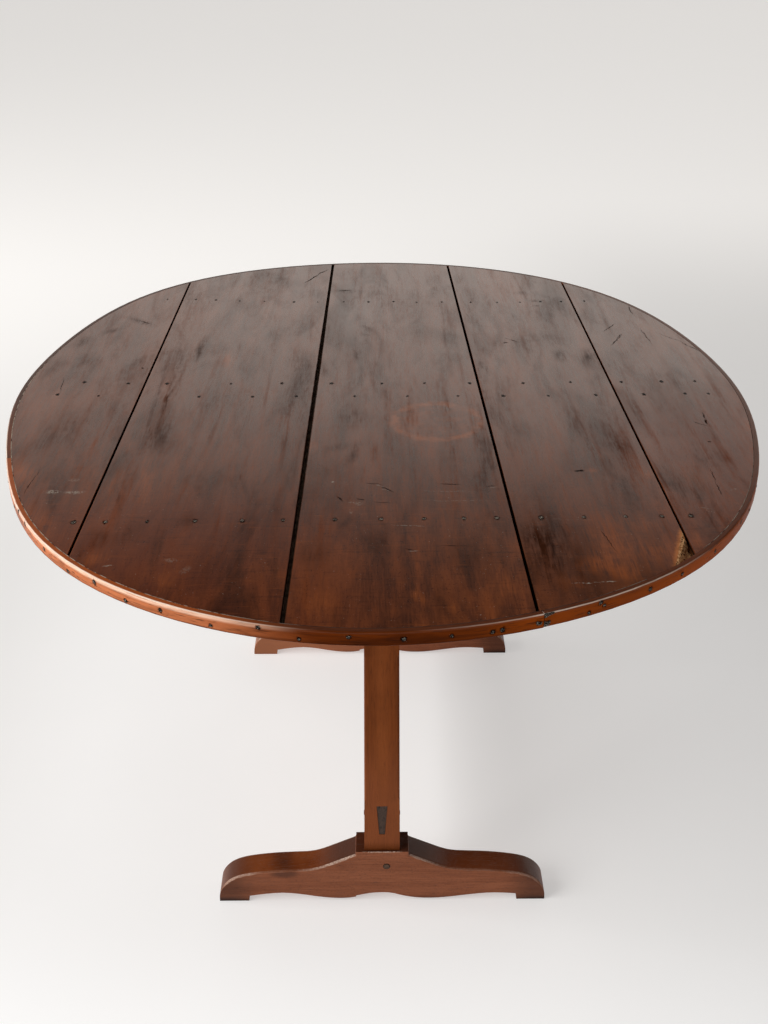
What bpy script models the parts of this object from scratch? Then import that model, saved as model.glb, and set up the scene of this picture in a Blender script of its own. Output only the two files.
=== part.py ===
"""Oval tilt-top wine tasting table: tongued planks in a bent band, turning on a two-post trestle."""

import math

import bmesh
import bpy
import numpy as np

# Overall sizes, in metres
TOP_HEIGHT = 0.730
TOP_HALF_X = 0.5790
TOP_HALF_Y = 0.6766
OVAL_POWER = 2.0095
OVAL_SWELLS = (
    (1, -0.0081, 0.0070), (2, -0.0006, -0.0054), (3, 0.0033, 0.0049), (4, -0.0150, -0.0017),
    (5, -0.0008, -0.0018), (6, 0.0041, 0.0009), (7, -0.0008, 0.0009), (8, 0.0025, -0.0006),
)
OVAL_STEPS = 132
SEAT = 0.0003

# Planks with tongue and groove
PLANK_THICK = 0.0185
PLANK_UNDER = TOP_HEIGHT - PLANK_THICK
PLANK_EDGES = (-0.6560, -0.1788, 0.2765, 0.6461)
PLANK_TAPERS = (0.0201, 0.0177, -0.0302, -0.0279)
JOINT_GAPS = (0.0037, 0.0053, 0.0045, 0.0038)
SAW_OVERRUN = 0.06
WORN_LONG = 0.060
WORN_WIDE = 0.0195
WORN_DEEP = 0.0062
TONGUE_LOW = PLANK_UNDER + 0.0055
TONGUE_THICK = 0.0060
TONGUE_BITE = 0.0065
GROOVE_DEPTH = 0.0075
TONGUE_PLAY = 0.0004

# Bent edge band
BAND_THICK = 0.0078
BAND_ROUND = 0.0025
BAND_GAP = 0.0009
BAND_JOINTS = {"front": math.radians(-73.9), "back": math.radians(62.0), "left": math.radians(-157.4)}
BAND_TALL = {"front": 0.0194, "right": 0.0187, "back": 0.0190}

# Battens under the top
BATTEN_WIDE = 0.060
BATTEN_THICK = 0.030
MIDDLE_BATTEN_WIDE = 0.100
MIDDLE_BATTEN_THICK = 0.022
BATTEN_SHY = 0.007
BATTEN_INSET = BAND_THICK + BATTEN_SHY
BATTEN_OVERRUN = 0.015
BATTEN_SLOPE = 0.110
BATTEN_LIP = 0.010

# Pivot of the top
PIVOT_X = 0.014
PIVOT_DROP = 0.030
PIVOT_Z = PLANK_UNDER - PIVOT_DROP
PIN_RADIUS = 0.0110
PIN_HEAD_RADIUS = 0.0160
PIN_HEAD_LONG = 0.0090
CHEEK_BORE = 0.0116
CHEEK_ROUND = 0.034
CHEEK_HALF = 0.072
CHEEK_THICK = 0.03395
CHEEK_PLAY = 0.0010
CHEEK_LIP = 0.012
CHEEK_WAIST = 0.044
CHEEK_WAIST_UP = 0.006
PIN_SHY = 0.0012
PIN_EASE = 0.0018

# Lock peg and the two holes it finds in the front post
LOCK_X = -0.020
LOCK_Z = -0.008
LOCK_RADIUS = 0.0050
LOCK_BORE = 0.0055
LOCK_HOLE = 0.0057
LOCK_TRAVEL = 0.016

# Feet
FOOT_LONG = 0.524
FOOT_THICK = 0.045
FEET_APART = 0.6820
FOOT_ARRIS = 0.0042
LEAST_ARRIS = 0.0004
BLOCK_TOP = 0.104
BLOCK_HALF = 0.0413

# Posts
POST_FOOT_WIDE = 0.0560
POST_HEAD_WIDE = 0.0478
POST_SETBACK = 0.004
POST_THICK = FOOT_THICK - 2 * POST_SETBACK
POST_Y = FEET_APART / 2
POST_IN = POST_Y - POST_THICK / 2
POST_OUT = POST_Y + POST_THICK / 2
POST_TOP = PLANK_UNDER - SEAT
POST_ARRIS = 0.0006
CHAMFER = 0.0036
CHAMFER_FROM = 0.203
CHAMFER_TO = 0.484
CHAMFER_RUN = 0.011
TENON_WIDE = 0.036
TENON_THICK = 0.014
TENON_FOOT = 0.036

# Lower stretcher
STRETCHER_THICK = 0.024
STRETCHER_LOW = 0.124
STRETCHER_TALL = 0.088
THROUGH_LOW = 0.137
THROUGH_TALL = 0.0575
THROUGH_TOP_WIDE = 0.0165
THROUGH_LOW_WIDE = 0.0084
THROUGH_SHY = 0.0006

# Upper rail: its right face stops the middle batten when the top stands upright
RAIL_HALF = PIVOT_DROP - SEAT - MIDDLE_BATTEN_THICK - SEAT + PIVOT_X
RAIL_TOP = PIVOT_Z - 0.018
RAIL_TALL = 0.060
RAIL_TENON_THICK = 0.018
RAIL_TENON_SHOULDER = 0.008
RAIL_TENON_LONG = 0.022

# Pegs
FOOT_PEG = 0.0056
FOOT_PEG_X = 0.0070
FOOT_PEG_Z = 0.0730
SIDE_PEG = 0.0042

# Cheeks stand against the posts and the outer battens against the cheeks
CHEEK_IN = POST_OUT + CHEEK_PLAY
CHEEK_OUT = CHEEK_IN + CHEEK_THICK
BATTEN_OFF = CHEEK_OUT + SEAT + BATTEN_WIDE / 2

for old in list(bpy.data.objects):
    bpy.data.objects.remove(old, do_unlink=True)


# Materials
def wood(name, colour, roughness):
    """A plain wood material for one piece."""
    made = bpy.data.materials.new(name)
    made.use_nodes = True
    shader = made.node_tree.nodes["Principled BSDF"]
    shader.inputs["Base Color"].default_value = (*colour, 1.0)
    shader.inputs["Roughness"].default_value = roughness
    shader.inputs["Metallic"].default_value = 0.0
    made.diffuse_color = (*colour, 1.0)
    return made


TOP_BROWN = (0.095, 0.045, 0.026)
BAND_ORANGE = (0.300, 0.095, 0.030)
POST_BROWN = (0.230, 0.080, 0.032)
FOOT_BROWN = (0.180, 0.066, 0.036)
UNDER_BROWN = (0.150, 0.070, 0.036)
PEG_DARK = (0.055, 0.034, 0.024)


# Building helpers
def piece(name, bm, colour=None, roughness=0.45):
    """Turns a finished bmesh into a named object; with no colour it is a hidden cutter."""
    bmesh.ops.recalc_face_normals(bm, faces=bm.faces)
    mesh = bpy.data.meshes.new(name)
    bm.to_mesh(mesh)
    bm.free()
    obj = bpy.data.objects.new(name, mesh)
    bpy.context.scene.collection.objects.link(obj)
    if colour is None:
        obj.hide_render = True
        obj.display_type = "WIRE"
    else:
        mesh.materials.append(wood(name, colour, roughness))
    return obj


def loft(rings):
    """A closed solid through rings of equal point count, capped at both ends."""
    bm = bmesh.new()
    rows = [[bm.verts.new(p) for p in ring] for ring in rings]
    count = len(rows[0])
    for low, high in zip(rows[:-1], rows[1:]):
        for i in range(count):
            j = (i + 1) % count
            bm.faces.new((low[i], low[j], high[j], high[i]))
    bm.faces.new(rows[0])
    bm.faces.new(rows[-1])
    return bm


def prism_y(outline, y0, y1):
    """An outline of (x, z) points carried from y0 to y1."""
    return loft([[(x, y, z) for x, z in outline] for y in (y0, y1)])


def block(x0, x1, y0, y1, z0, z1):
    """A plain rectangular block."""
    return prism_y(((x0, z0), (x1, z0), (x1, z1), (x0, z1)), y0, y1)


def round_bar(radii, axis, at, steps):
    """A turned bar: (distance along the axis, radius) stations about an axis through a point."""
    turns = np.arange(steps) * 2 * math.pi / steps
    rings = []
    for along, radius in radii:
        a = radius * np.cos(turns)
        b = radius * np.sin(turns)
        if axis == "Y":
            ring = [(at[0] + p, along, at[1] + r) for p, r in zip(a, b)]
        else:
            ring = [(along, at[0] + p, at[1] + r) for p, r in zip(a, b)]
        rings.append(ring)
    return loft(rings)


def trim(obj, cutter, operation="DIFFERENCE"):
    """Cuts, joins or keeps the common part with another closed mesh."""
    step = obj.modifiers.new(cutter.name, "BOOLEAN")
    step.operation = operation
    step.solver = "EXACT"
    step.object = cutter


def smooth(stations, per_span):
    """A smooth line through the stations (Catmull-Rom), as a list of points."""
    pts = np.array(stations, float)
    ends = np.vstack([2 * pts[0] - pts[1], pts, 2 * pts[-1] - pts[-2]])
    line = []
    for i in range(len(pts) - 1):
        p0, p1, p2, p3 = ends[i : i + 4]
        for t in np.arange(per_span) / per_span:
            cubic = 2 * p1 + (p2 - p0) * t + (2 * p0 - 5 * p1 + 4 * p2 - p3) * t**2
            line.append(0.5 * (cubic + (3 * p1 - p0 - 3 * p2 + p3) * t**3))
    line.append(pts[-1])
    return [tuple(p) for p in line]


# The oval outline, slightly out of true as a hand-sawn top is
def oval(turn, inset):
    """Points of the outline at the given angles, centred, moved square to the edge by the inset."""

    def edge(a):
        c, s = np.cos(a), np.sin(a)
        r = (np.abs(c / TOP_HALF_X) ** OVAL_POWER + np.abs(s / TOP_HALF_Y) ** OVAL_POWER) ** (-1 / OVAL_POWER)
        swell = 1.0
        for k, p, q in OVAL_SWELLS:
            swell = swell + p * np.cos(k * a) + q * np.sin(k * a)
        return np.stack([r * swell * c, r * swell * s], -1)

    whole = edge(np.linspace(0, 2 * math.pi, 3600))
    centre = (whole.min(axis=0) + whole.max(axis=0)) / 2
    turn = np.asarray(turn, float)
    along = edge(turn + 1e-4) - edge(turn - 1e-4)
    along /= np.linalg.norm(along, axis=-1, keepdims=True)
    out = np.stack([along[..., 1], -along[..., 0]], -1)
    return edge(turn) - centre - inset * out


def oval_slab(name, inset, low, high):
    """A hidden slab of the oval, for cutting boards to the outline."""
    ring = oval(np.arange(OVAL_STEPS) * 2 * math.pi / OVAL_STEPS, inset)
    return piece(name, loft([[(x, y, z) for x, y in ring] for z in (low, high)]))


plank_oval = oval_slab("plank_oval", BAND_THICK + SEAT, PLANK_UNDER - 0.01, TOP_HEIGHT + 0.01)
batten_oval = oval_slab("batten_oval", BATTEN_INSET, PLANK_UNDER - 0.10, PLANK_UNDER + 0.01)


# Planks
def joint_x(number, y):
    """Where joint line `number` lies across the top at distance y."""
    return PLANK_EDGES[number] * TOP_HALF_X + PLANK_TAPERS[number] * y


def plank(index):
    """One tapered plank with a groove on its left edge and a tongue on its right."""
    tongue_high = TONGUE_LOW + TONGUE_THICK
    rings = []
    side = TOP_HALF_X + SAW_OVERRUN
    end = TOP_HALF_Y + SAW_OVERRUN
    for y in (-end, end):
        ring = []
        if index == 0:
            ring += [(-side, PLANK_UNDER), (-side, TOP_HEIGHT)]
        else:
            left = joint_x(index - 1, y) + JOINT_GAPS[index - 1] / 2
            deep = left + GROOVE_DEPTH
            ring += [(left, PLANK_UNDER), (left, TONGUE_LOW - TONGUE_PLAY), (deep, TONGUE_LOW - TONGUE_PLAY)]
            ring += [(deep, tongue_high + TONGUE_PLAY), (left, tongue_high + TONGUE_PLAY), (left, TOP_HEIGHT)]
        if index == 4:
            ring += [(side, TOP_HEIGHT), (side, PLANK_UNDER)]
        else:
            right = joint_x(index, y) - JOINT_GAPS[index] / 2
            tip = right + JOINT_GAPS[index] + TONGUE_BITE
            ring += [(right, TOP_HEIGHT), (right, tongue_high), (tip, tongue_high)]
            ring += [(tip, TONGUE_LOW), (right, TONGUE_LOW), (right, PLANK_UNDER)]
        rings.append([(x, y, z) for x, z in ring])
    board = piece(f"plank_{index + 1}", loft(rings), TOP_BROWN, 0.42)
    trim(board, plank_oval, "INTERSECT")
    return board


planks = [plank(i) for i in range(5)]


def worn_corner():
    """The crumbled corner: a rough-floored hollow deepening from the joint line towards the band."""
    near = oval(np.radians(-53.0), BAND_THICK + SEAT)
    across, along = np.meshgrid(np.linspace(-0.2, 1.5, 10), np.linspace(-0.25, 1.25, 12))
    y = near[1] - 0.004 + (1 - along) * WORN_LONG
    x = joint_x(3, y) + JOINT_GAPS[3] / 2 - across * WORN_WIDE
    inside = np.minimum(along * 1.15 - across, 1.1 * (along + 0.08))
    ripple = 0.10 * np.sin(17 * across + 5 * along) + 0.08 * np.sin(11 * along - 23 * across)
    floor = TOP_HEIGHT - WORN_DEEP * np.clip(2.2 * inside + ripple * (inside > 0.1), -1.0, 1.0)
    lid = np.full_like(floor, TOP_HEIGHT + 2 * WORN_DEEP)
    rows, columns = floor.shape
    bm = bmesh.new()
    sheets = []
    for z in (floor, lid):
        points = np.stack([x, y, z], -1).reshape(-1, 3)
        sheets.append([bm.verts.new(tuple(map(float, point))) for point in points])
    for sheet in sheets:
        for i in range(rows - 1):
            for j in range(columns - 1):
                k = i * columns + j
                bm.faces.new((sheet[k], sheet[k + 1], sheet[k + columns + 1]))
                bm.faces.new((sheet[k], sheet[k + columns + 1], sheet[k + columns]))
    rim = [j for j in range(columns)] + [i * columns + columns - 1 for i in range(1, rows)]
    rim += [(rows - 1) * columns + j for j in range(columns - 2, -1, -1)]
    rim += [i * columns for i in range(rows - 2, 0, -1)]
    for a, b in zip(rim, rim[1:] + rim[:1]):
        bm.faces.new((sheets[0][a], sheets[0][b], sheets[1][b], sheets[1][a]))
    return piece("worn_corner", bm)


trim(planks[3], worn_corner())


# Edge band, bent from three lengths
def band(name, start, end, tall):
    """A strip with a rounded upper outer edge, bent along the oval between two joints."""
    arc = end - start
    count = max(8, round(arc / (2 * math.pi) * OVAL_STEPS))
    trimmed = BAND_GAP / 2 / 0.6
    turns = np.linspace(start + trimmed, end - trimmed, count + 1)
    low = TOP_HEIGHT - tall
    shape = [(BAND_THICK, low), (0.0010, low), (0.0, low + 0.0010)]
    for lift in np.linspace(0, math.pi / 2, 4):
        shape.append((BAND_ROUND * (1 - math.cos(lift)), TOP_HEIGHT - BAND_ROUND * (1 - math.sin(lift))))
    shape.append((BAND_THICK, TOP_HEIGHT))
    lines = [oval(turns, inset) for inset, _ in shape]
    rings = []
    for i in range(count + 1):
        rings.append([(line[i][0], line[i][1], z) for line, (_, z) in zip(lines, shape)])
    return piece(name, loft(rings), BAND_ORANGE, 0.38)


full = 2 * math.pi
band("edge_band_front", BAND_JOINTS["left"], BAND_JOINTS["front"], BAND_TALL["front"])
band("edge_band_right", BAND_JOINTS["front"], BAND_JOINTS["back"], BAND_TALL["right"])
band("edge_band_back", BAND_JOINTS["back"], BAND_JOINTS["left"] + full, BAND_TALL["back"])


# Battens, cut to the oval at their ends and thinned below
def batten(name, y, wide, thick):
    """A cross batten reaching nearly to the band, with ends sloped away underneath."""
    top = PLANK_UNDER - SEAT
    low = top - thick
    lip = top - BATTEN_LIP
    half = TOP_HALF_X * (1 - (abs(y) / TOP_HALF_Y) ** OVAL_POWER) ** (1 / OVAL_POWER) + BATTEN_OVERRUN
    flat = half - BATTEN_SLOPE
    outline = ((-half, top), (-half, lip), (-flat, low), (flat, low), (half, lip), (half, top))
    made = piece(name, prism_y(outline, y - wide / 2, y + wide / 2), UNDER_BROWN, 0.6)
    trim(made, batten_oval, "INTERSECT")
    return made


batten("front_batten", -BATTEN_OFF, BATTEN_WIDE, BATTEN_THICK)
batten("rear_batten", BATTEN_OFF, BATTEN_WIDE, BATTEN_THICK)
batten("middle_batten", 0.0, MIDDLE_BATTEN_WIDE, MIDDLE_BATTEN_THICK)


# Pivot cheeks
def cheek(name, side):
    """A hanging cheek: broad against the planks, rounded about the pivot below."""
    top = PLANK_UNDER - SEAT
    turns = np.radians(np.linspace(200, 340, 15))
    outline = [(PIVOT_X + CHEEK_ROUND * math.cos(a), PIVOT_Z + CHEEK_ROUND * math.sin(a)) for a in turns]
    waist = (PIVOT_X + CHEEK_WAIST, PIVOT_Z + CHEEK_WAIST_UP)
    right = smooth([outline[-1], waist, (PIVOT_X + CHEEK_HALF, top - CHEEK_LIP)], 4)
    left = [(2 * PIVOT_X - x, z) for x, z in reversed(right)]
    outline = left[:-1] + outline + right[1:]
    outline += [(PIVOT_X + CHEEK_HALF, top), (PIVOT_X - CHEEK_HALF, top)]
    near, far = sorted((side * CHEEK_IN, side * CHEEK_OUT))
    made = piece(name, prism_y(outline, near, far), UNDER_BROWN, 0.6)
    reach = ((near - 0.01, CHEEK_BORE), (far + 0.01, CHEEK_BORE))
    trim(made, piece(f"{name}_bore", round_bar(reach, "Y", (PIVOT_X, PIVOT_Z), 32)))
    return made


front_cheek = cheek("front_pivot_cheek", -1)
cheek("rear_pivot_cheek", 1)
lock_at = (PIVOT_X + LOCK_X, PIVOT_Z + LOCK_Z)
lock_reach = ((-CHEEK_OUT - 0.01, LOCK_BORE), (-CHEEK_IN + 0.01, LOCK_BORE))
trim(front_cheek, piece("lock_bore", round_bar(lock_reach, "Y", lock_at, 20)))


# Lock peg: a turned peg with a finger knob, drawn back at rest
lock_tip = -CHEEK_IN - 0.0010
lock_neck = -(BATTEN_OFF + BATTEN_WIDE / 2) - LOCK_TRAVEL - 0.002
lock_shape = (
    (lock_tip, LOCK_RADIUS * 0.72),
    (lock_tip - 0.0025, LOCK_RADIUS),
    (lock_neck, LOCK_RADIUS),
    (lock_neck - 0.0015, 0.0085),
    (lock_neck - 0.0060, 0.0112),
    (lock_neck - 0.0120, 0.0122),
    (lock_neck - 0.0180, 0.0108),
    (lock_neck - 0.0215, 0.0070),
)
lock_peg = piece("lock_peg", round_bar(lock_shape, "Y", lock_at, 20), PEG_DARK, 0.5)


# Pivot pins: turned pins with a head against the inner face of the post
def pivot_pin(name, side):
    """A pin seated in the post head and standing out into the cheek."""
    stations = (
        (POST_IN - SEAT - PIN_HEAD_LONG, PIN_HEAD_RADIUS * 0.86),
        (POST_IN - SEAT - PIN_HEAD_LONG + 0.002, PIN_HEAD_RADIUS),
        (POST_IN - SEAT, PIN_HEAD_RADIUS),
        (POST_IN - SEAT + 0.0001, PIN_RADIUS),
        (CHEEK_OUT - PIN_SHY - PIN_EASE, PIN_RADIUS),
        (CHEEK_OUT - PIN_SHY, PIN_RADIUS * 0.86),
    )
    stations = [(side * y, r) for y, r in stations]
    return piece(name, round_bar(stations, "Y", (PIVOT_X, PIVOT_Z), 32), PEG_DARK, 0.5)


pivot_pin("front_pivot_pin", -1)
pivot_pin("rear_pivot_pin", 1)

# Outline of a foot: lower edges of its two halves (arch, cusp, bulge, hollow, pad), end and upper ogee
ARCH_LEFT = ((0.0, 0.0165), (0.014, 0.0158), (0.028, 0.0132), (0.0416, 0.0098))
BULGE_LEFT = ((0.0424, 0.0072), (0.054, 0.0051), (0.070, 0.0045), (0.090, 0.0062), (0.110, 0.0095))
HOLLOW_LEFT = (
    (0.110, 0.0095), (0.134, 0.0142), (0.160, 0.0168), (0.188, 0.0146), (0.2132, 0.0105), (0.2145, 0.0)
)
ARCH_RIGHT = ((0.0, 0.0165), (0.010, 0.0160), (0.020, 0.0140))
BULGE_RIGHT = (
    (0.0206, 0.0137), (0.032, 0.0098), (0.047, 0.0062), (0.066, 0.0040), (0.090, 0.0042), (0.112, 0.0066)
)
HOLLOW_RIGHT = (
    (0.112, 0.0066), (0.140, 0.0108), (0.168, 0.0140), (0.192, 0.0140), (0.2155, 0.0122), (0.2165, 0.0)
)
HEEL = ((0.262, 0.0), (0.2615, 0.012), (0.2585, 0.024), (0.252, 0.036), (0.243, 0.0455), (0.232, 0.0520))
ARM = ((0.232, 0.0520), (0.219, 0.0565), (0.198, 0.0605), (0.170, 0.0638), (0.145, 0.0652), (0.121, 0.0663))
RISE = (
    (0.121, 0.0663), (0.108, 0.0684), (0.094, 0.0732), (0.076, 0.0817), (0.058, 0.0905), (BLOCK_HALF, 0.0985)
)


def foot_outline():
    """The whole outline of a foot, anticlockwise from the middle of its lower edge."""
    upper = smooth(HEEL, 2)[:-1] + smooth(ARM, 2)[:-1] + smooth(RISE, 2)[:-1]
    upper += [(BLOCK_HALF + 0.0014, 0.0979), (BLOCK_HALF, 0.0985), (BLOCK_HALF, BLOCK_TOP)]
    scale = FOOT_LONG / 2 / HEEL[0][0]
    halves = []
    lower = ((ARCH_RIGHT, BULGE_RIGHT, HOLLOW_RIGHT), (ARCH_LEFT, BULGE_LEFT, HOLLOW_LEFT))
    for arch, bulge, hollow in lower:
        half = smooth(arch, 2) + smooth(bulge, 2)[:-1] + smooth(hollow[:-1], 2) + [hollow[-1]] + upper
        halves.append([(x * scale if x > BLOCK_HALF + 0.001 else x, z) for x, z in half])
    return halves[0] + [(-x, z) for x, z in reversed(halves[1]) if x > 0.0]


def foot_body(y):
    """The foot's outline carried through its thickness, its arrises rounded off: full along the arms and
    the upper ends, fading towards the floor, hardly at all elsewhere."""
    outline = np.array(foot_outline())
    ahead = np.roll(outline, -1, 0) - outline
    ahead /= np.linalg.norm(ahead, axis=1, keepdims=True)
    out = np.stack([ahead[:, 1], -ahead[:, 0]], -1)
    both = out + np.roll(out, 1, 0)
    square = both / (1 + np.sum(out * np.roll(out, 1, 0), 1, keepdims=True))
    share = np.clip((outline[:, 1] - 0.014) / 0.030, 0, 1)
    share = share * share * (3 - 2 * share) * (np.abs(outline[:, 0]) > BLOCK_HALF + 0.0001)
    arris = LEAST_ARRIS + (FOOT_ARRIS - LEAST_ARRIS) * share
    front = []
    for turn in np.radians((0.0, 30.0, 60.0, 90.0)):
        flat = outline - square * (arris * (1 - math.sin(turn)))[:, None]
        front.append((flat, -FOOT_THICK / 2 + arris * (1 - math.cos(turn))))
    back = [(flat, -depth) for flat, depth in reversed(front)]
    return loft([[(x, y + d, z) for (x, z), d in zip(flat, depth)] for flat, depth in front + back])


def foot(name, side):
    """A sawn foot with softened upper arrises, a mortise for the post and a hole for its peg."""
    y = side * POST_Y
    bm = foot_body(y)
    made = piece(name, bm, FOOT_BROWN, 0.42)
    wide = TENON_WIDE / 2 + SEAT
    deep = TENON_THICK / 2 + SEAT
    low = TENON_FOOT - 0.0010
    trim(made, piece(f"{name}_mortise", block(-wide, wide, y - deep, y + deep, low, BLOCK_TOP + 0.02)))
    reach = ((y - FOOT_THICK, FOOT_PEG + SEAT), (y + FOOT_THICK, FOOT_PEG + SEAT))
    trim(made, piece(f"{name}_peg_hole", round_bar(reach, "Y", (FOOT_PEG_X, FOOT_PEG_Z), 16)))
    peg_reach = [(y - FOOT_THICK / 2 - 0.0008, FOOT_PEG * 0.8), (y - FOOT_THICK / 2, FOOT_PEG)]
    peg_reach += [(y + FOOT_THICK / 2, FOOT_PEG), (y + FOOT_THICK / 2 + 0.0008, FOOT_PEG * 0.8)]
    peg_name = name + "_peg"
    piece(peg_name, round_bar(peg_reach, "Y", (FOOT_PEG_X, FOOT_PEG_Z), 16), PEG_DARK, 0.5)
    return made


foot("front_foot", -1)
foot("rear_foot", 1)


# Posts
def post_ring(z, nip, y):
    """The post's section at height z: its corners nipped off by the given amount."""
    share = (z - BLOCK_TOP) / (POST_TOP - BLOCK_TOP)
    w = (POST_FOOT_WIDE + (POST_HEAD_WIDE - POST_FOOT_WIDE) * share) / 2
    d = POST_THICK / 2
    corners = ((w - nip, -d), (w, -d + nip), (w, d - nip), (w - nip, d))
    ring = [(x, y + dy, z) for x, dy in corners]
    return ring + [(-x, y + dy, z) for x, dy in reversed(corners)]


def through_outline(play):
    """The tapering end of the stretcher's tenon, with play all round."""
    low = THROUGH_LOW - play
    high = THROUGH_LOW + THROUGH_TALL + play
    wide = THROUGH_TOP_WIDE / 2 + play
    thin = THROUGH_LOW_WIDE / 2 + play
    return ((-thin, low), (thin, low), (wide, high), (-wide, high))


def post(name, side):
    """A tapered post with stopped chamfers, a tenon below and a head rounded about the pivot."""
    y = side * POST_Y
    heights = (
        (BLOCK_TOP + SEAT, POST_ARRIS),
        (CHAMFER_FROM, POST_ARRIS),
        (CHAMFER_FROM + CHAMFER_RUN, CHAMFER),
        (CHAMFER_TO - CHAMFER_RUN, CHAMFER),
        (CHAMFER_TO, POST_ARRIS),
        (POST_TOP, POST_ARRIS),
    )
    made = piece(name, loft([post_ring(z, nip, y) for z, nip in heights]), POST_BROWN, 0.45)
    wide = TENON_WIDE / 2
    deep = TENON_THICK / 2
    tenon = block(-wide, wide, y - deep, y + deep, TENON_FOOT, BLOCK_TOP + 0.03)
    trim(made, piece(f"{name}_tenon", tenon), "UNION")
    round_off = PIVOT_DROP - SEAT
    turns = np.radians(np.linspace(90, 55, 8))
    crown = [(PIVOT_X + round_off * math.cos(a), PIVOT_Z + round_off * math.sin(a)) for a in turns]
    crown += [(PIVOT_X + 0.06, crown[-1][1]), (PIVOT_X + 0.06, POST_TOP + 0.02), (PIVOT_X, POST_TOP + 0.02)]
    trim(made, piece(f"{name}_crown", prism_y(crown, y - 0.05, y + 0.05)))
    pin_reach = ((y - 0.05, PIN_RADIUS + SEAT), (y + 0.05, PIN_RADIUS + SEAT))
    trim(made, piece(f"{name}_pin_hole", round_bar(pin_reach, "Y", (PIVOT_X, PIVOT_Z), 32)))
    trim(made, piece(f"{name}_through", prism_y(through_outline(SEAT), y - 0.05, y + 0.05)))
    inner = side * POST_IN
    near, far = sorted((inner - side * 0.02, inner + side * (RAIL_TENON_LONG + 0.001)))
    half = RAIL_TENON_THICK / 2 + SEAT
    low = RAIL_TOP - RAIL_TALL + RAIL_TENON_SHOULDER - SEAT
    high = RAIL_TOP - RAIL_TENON_SHOULDER + SEAT
    trim(made, piece(f"{name}_rail_mortise", block(-half, half, near, far, low, high)))
    reach = ((y - 0.05, FOOT_PEG + SEAT), (y + 0.05, FOOT_PEG + SEAT))
    trim(made, piece(f"{name}_foot_peg_hole", round_bar(reach, "Y", (FOOT_PEG_X, FOOT_PEG_Z), 16)))
    for z, peg_y, label in side_pegs(side):
        hole = ((-0.05, SIDE_PEG + SEAT), (0.05, SIDE_PEG + SEAT))
        trim(made, piece(f"{name}_{label}_hole", round_bar(hole, "X", (peg_y, z), 12)))
    return made


def side_pegs(side):
    """Height, place and name of the two pegs driven across a post."""
    rail_y = side * (POST_IN + RAIL_TENON_LONG / 2)
    rail_z = RAIL_TOP - RAIL_TALL / 2
    stretcher_z = THROUGH_LOW + THROUGH_TALL / 2
    return ((rail_z, rail_y, "rail_peg"), (stretcher_z, side * POST_Y, "stretcher_peg"))


front_post = post("front_post", -1)
post("rear_post", 1)
for lock_x, lock_z, lock_name in ((LOCK_X, LOCK_Z, "flat"), (LOCK_Z, -LOCK_X, "upright")):
    hole_reach = ((-POST_OUT - 0.01, LOCK_HOLE), (-POST_OUT + LOCK_TRAVEL + 0.0015, LOCK_HOLE))
    hole_at = (PIVOT_X + lock_x, PIVOT_Z + lock_z)
    trim(front_post, piece(f"lock_hole_{lock_name}", round_bar(hole_reach, "Y", hole_at, 20)))


# Pegs across the posts
def side_peg(name, y, z):
    """A short peg driven across a post, a hair proud on both faces."""
    share = (z - BLOCK_TOP) / (POST_TOP - BLOCK_TOP)
    half = (POST_FOOT_WIDE + (POST_HEAD_WIDE - POST_FOOT_WIDE) * share) / 2
    ends = [(-half - 0.0008, SIDE_PEG * 0.8), (-half, SIDE_PEG)]
    ends += [(half, SIDE_PEG), (half + 0.0008, SIDE_PEG * 0.8)]
    return piece(name, round_bar(ends, "X", (y, z), 12), PEG_DARK, 0.5)


for post_side, post_label in ((-1, "front"), (1, "rear")):
    for peg_z, peg_y, peg_label in side_pegs(post_side):
        side_peg(f"{post_label}_{peg_label}", peg_y, peg_z)


# Rails between the posts
def peg_holes(obj, label):
    """Drills the cross holes of the pegs that hold a rail."""
    for side in (-1, 1):
        for z, y, name in side_pegs(side):
            if name == label:
                hole = ((-0.05, SIDE_PEG + SEAT), (0.05, SIDE_PEG + SEAT))
                drill = piece(f"{obj.name}_hole_{side}", round_bar(hole, "X", (y, z), 12))
                trim(obj, drill)


def lower_stretcher():
    """A board on edge whose tapered tenons pass through both posts."""
    half = STRETCHER_THICK / 2
    body = POST_IN - SEAT
    high = STRETCHER_LOW + STRETCHER_TALL
    made = piece("lower_stretcher", block(-half, half, -body, body, STRETCHER_LOW, high), POST_BROWN, 0.5)
    reach = POST_OUT - THROUGH_SHY
    trim(made, piece("stretcher_tenons", prism_y(through_outline(0.0), -reach, reach)), "UNION")
    peg_holes(made, "stretcher_peg")
    return made


def upper_rail():
    """The rail under the top, tenoned into both post heads."""
    body = POST_IN - SEAT
    low = RAIL_TOP - RAIL_TALL
    made = piece("upper_rail", block(-RAIL_HALF, RAIL_HALF, -body, body, low, RAIL_TOP), POST_BROWN, 0.5)
    half = RAIL_TENON_THICK / 2
    reach = POST_IN + RAIL_TENON_LONG
    tenons = block(-half, half, -reach, reach, low + RAIL_TENON_SHOULDER, RAIL_TOP - RAIL_TENON_SHOULDER)
    trim(made, piece("rail_tenons", tenons), "UNION")
    peg_holes(made, "rail_peg")
    return made


lower_stretcher()
upper_rail()


# Moving groups: the top turns about the pivot, the lock peg slides in the front cheek
def hang(name, at, members):
    """Groups pieces under an empty set on their joint."""
    axis = bpy.data.objects.new(name, None)
    axis.empty_display_size = 0.05
    axis.location = at
    bpy.context.scene.collection.objects.link(axis)
    for member in members:
        member.parent = axis
        member.matrix_parent_inverse.identity()
        member.location = (-at[0], -at[1], -at[2])
    return axis


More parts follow.
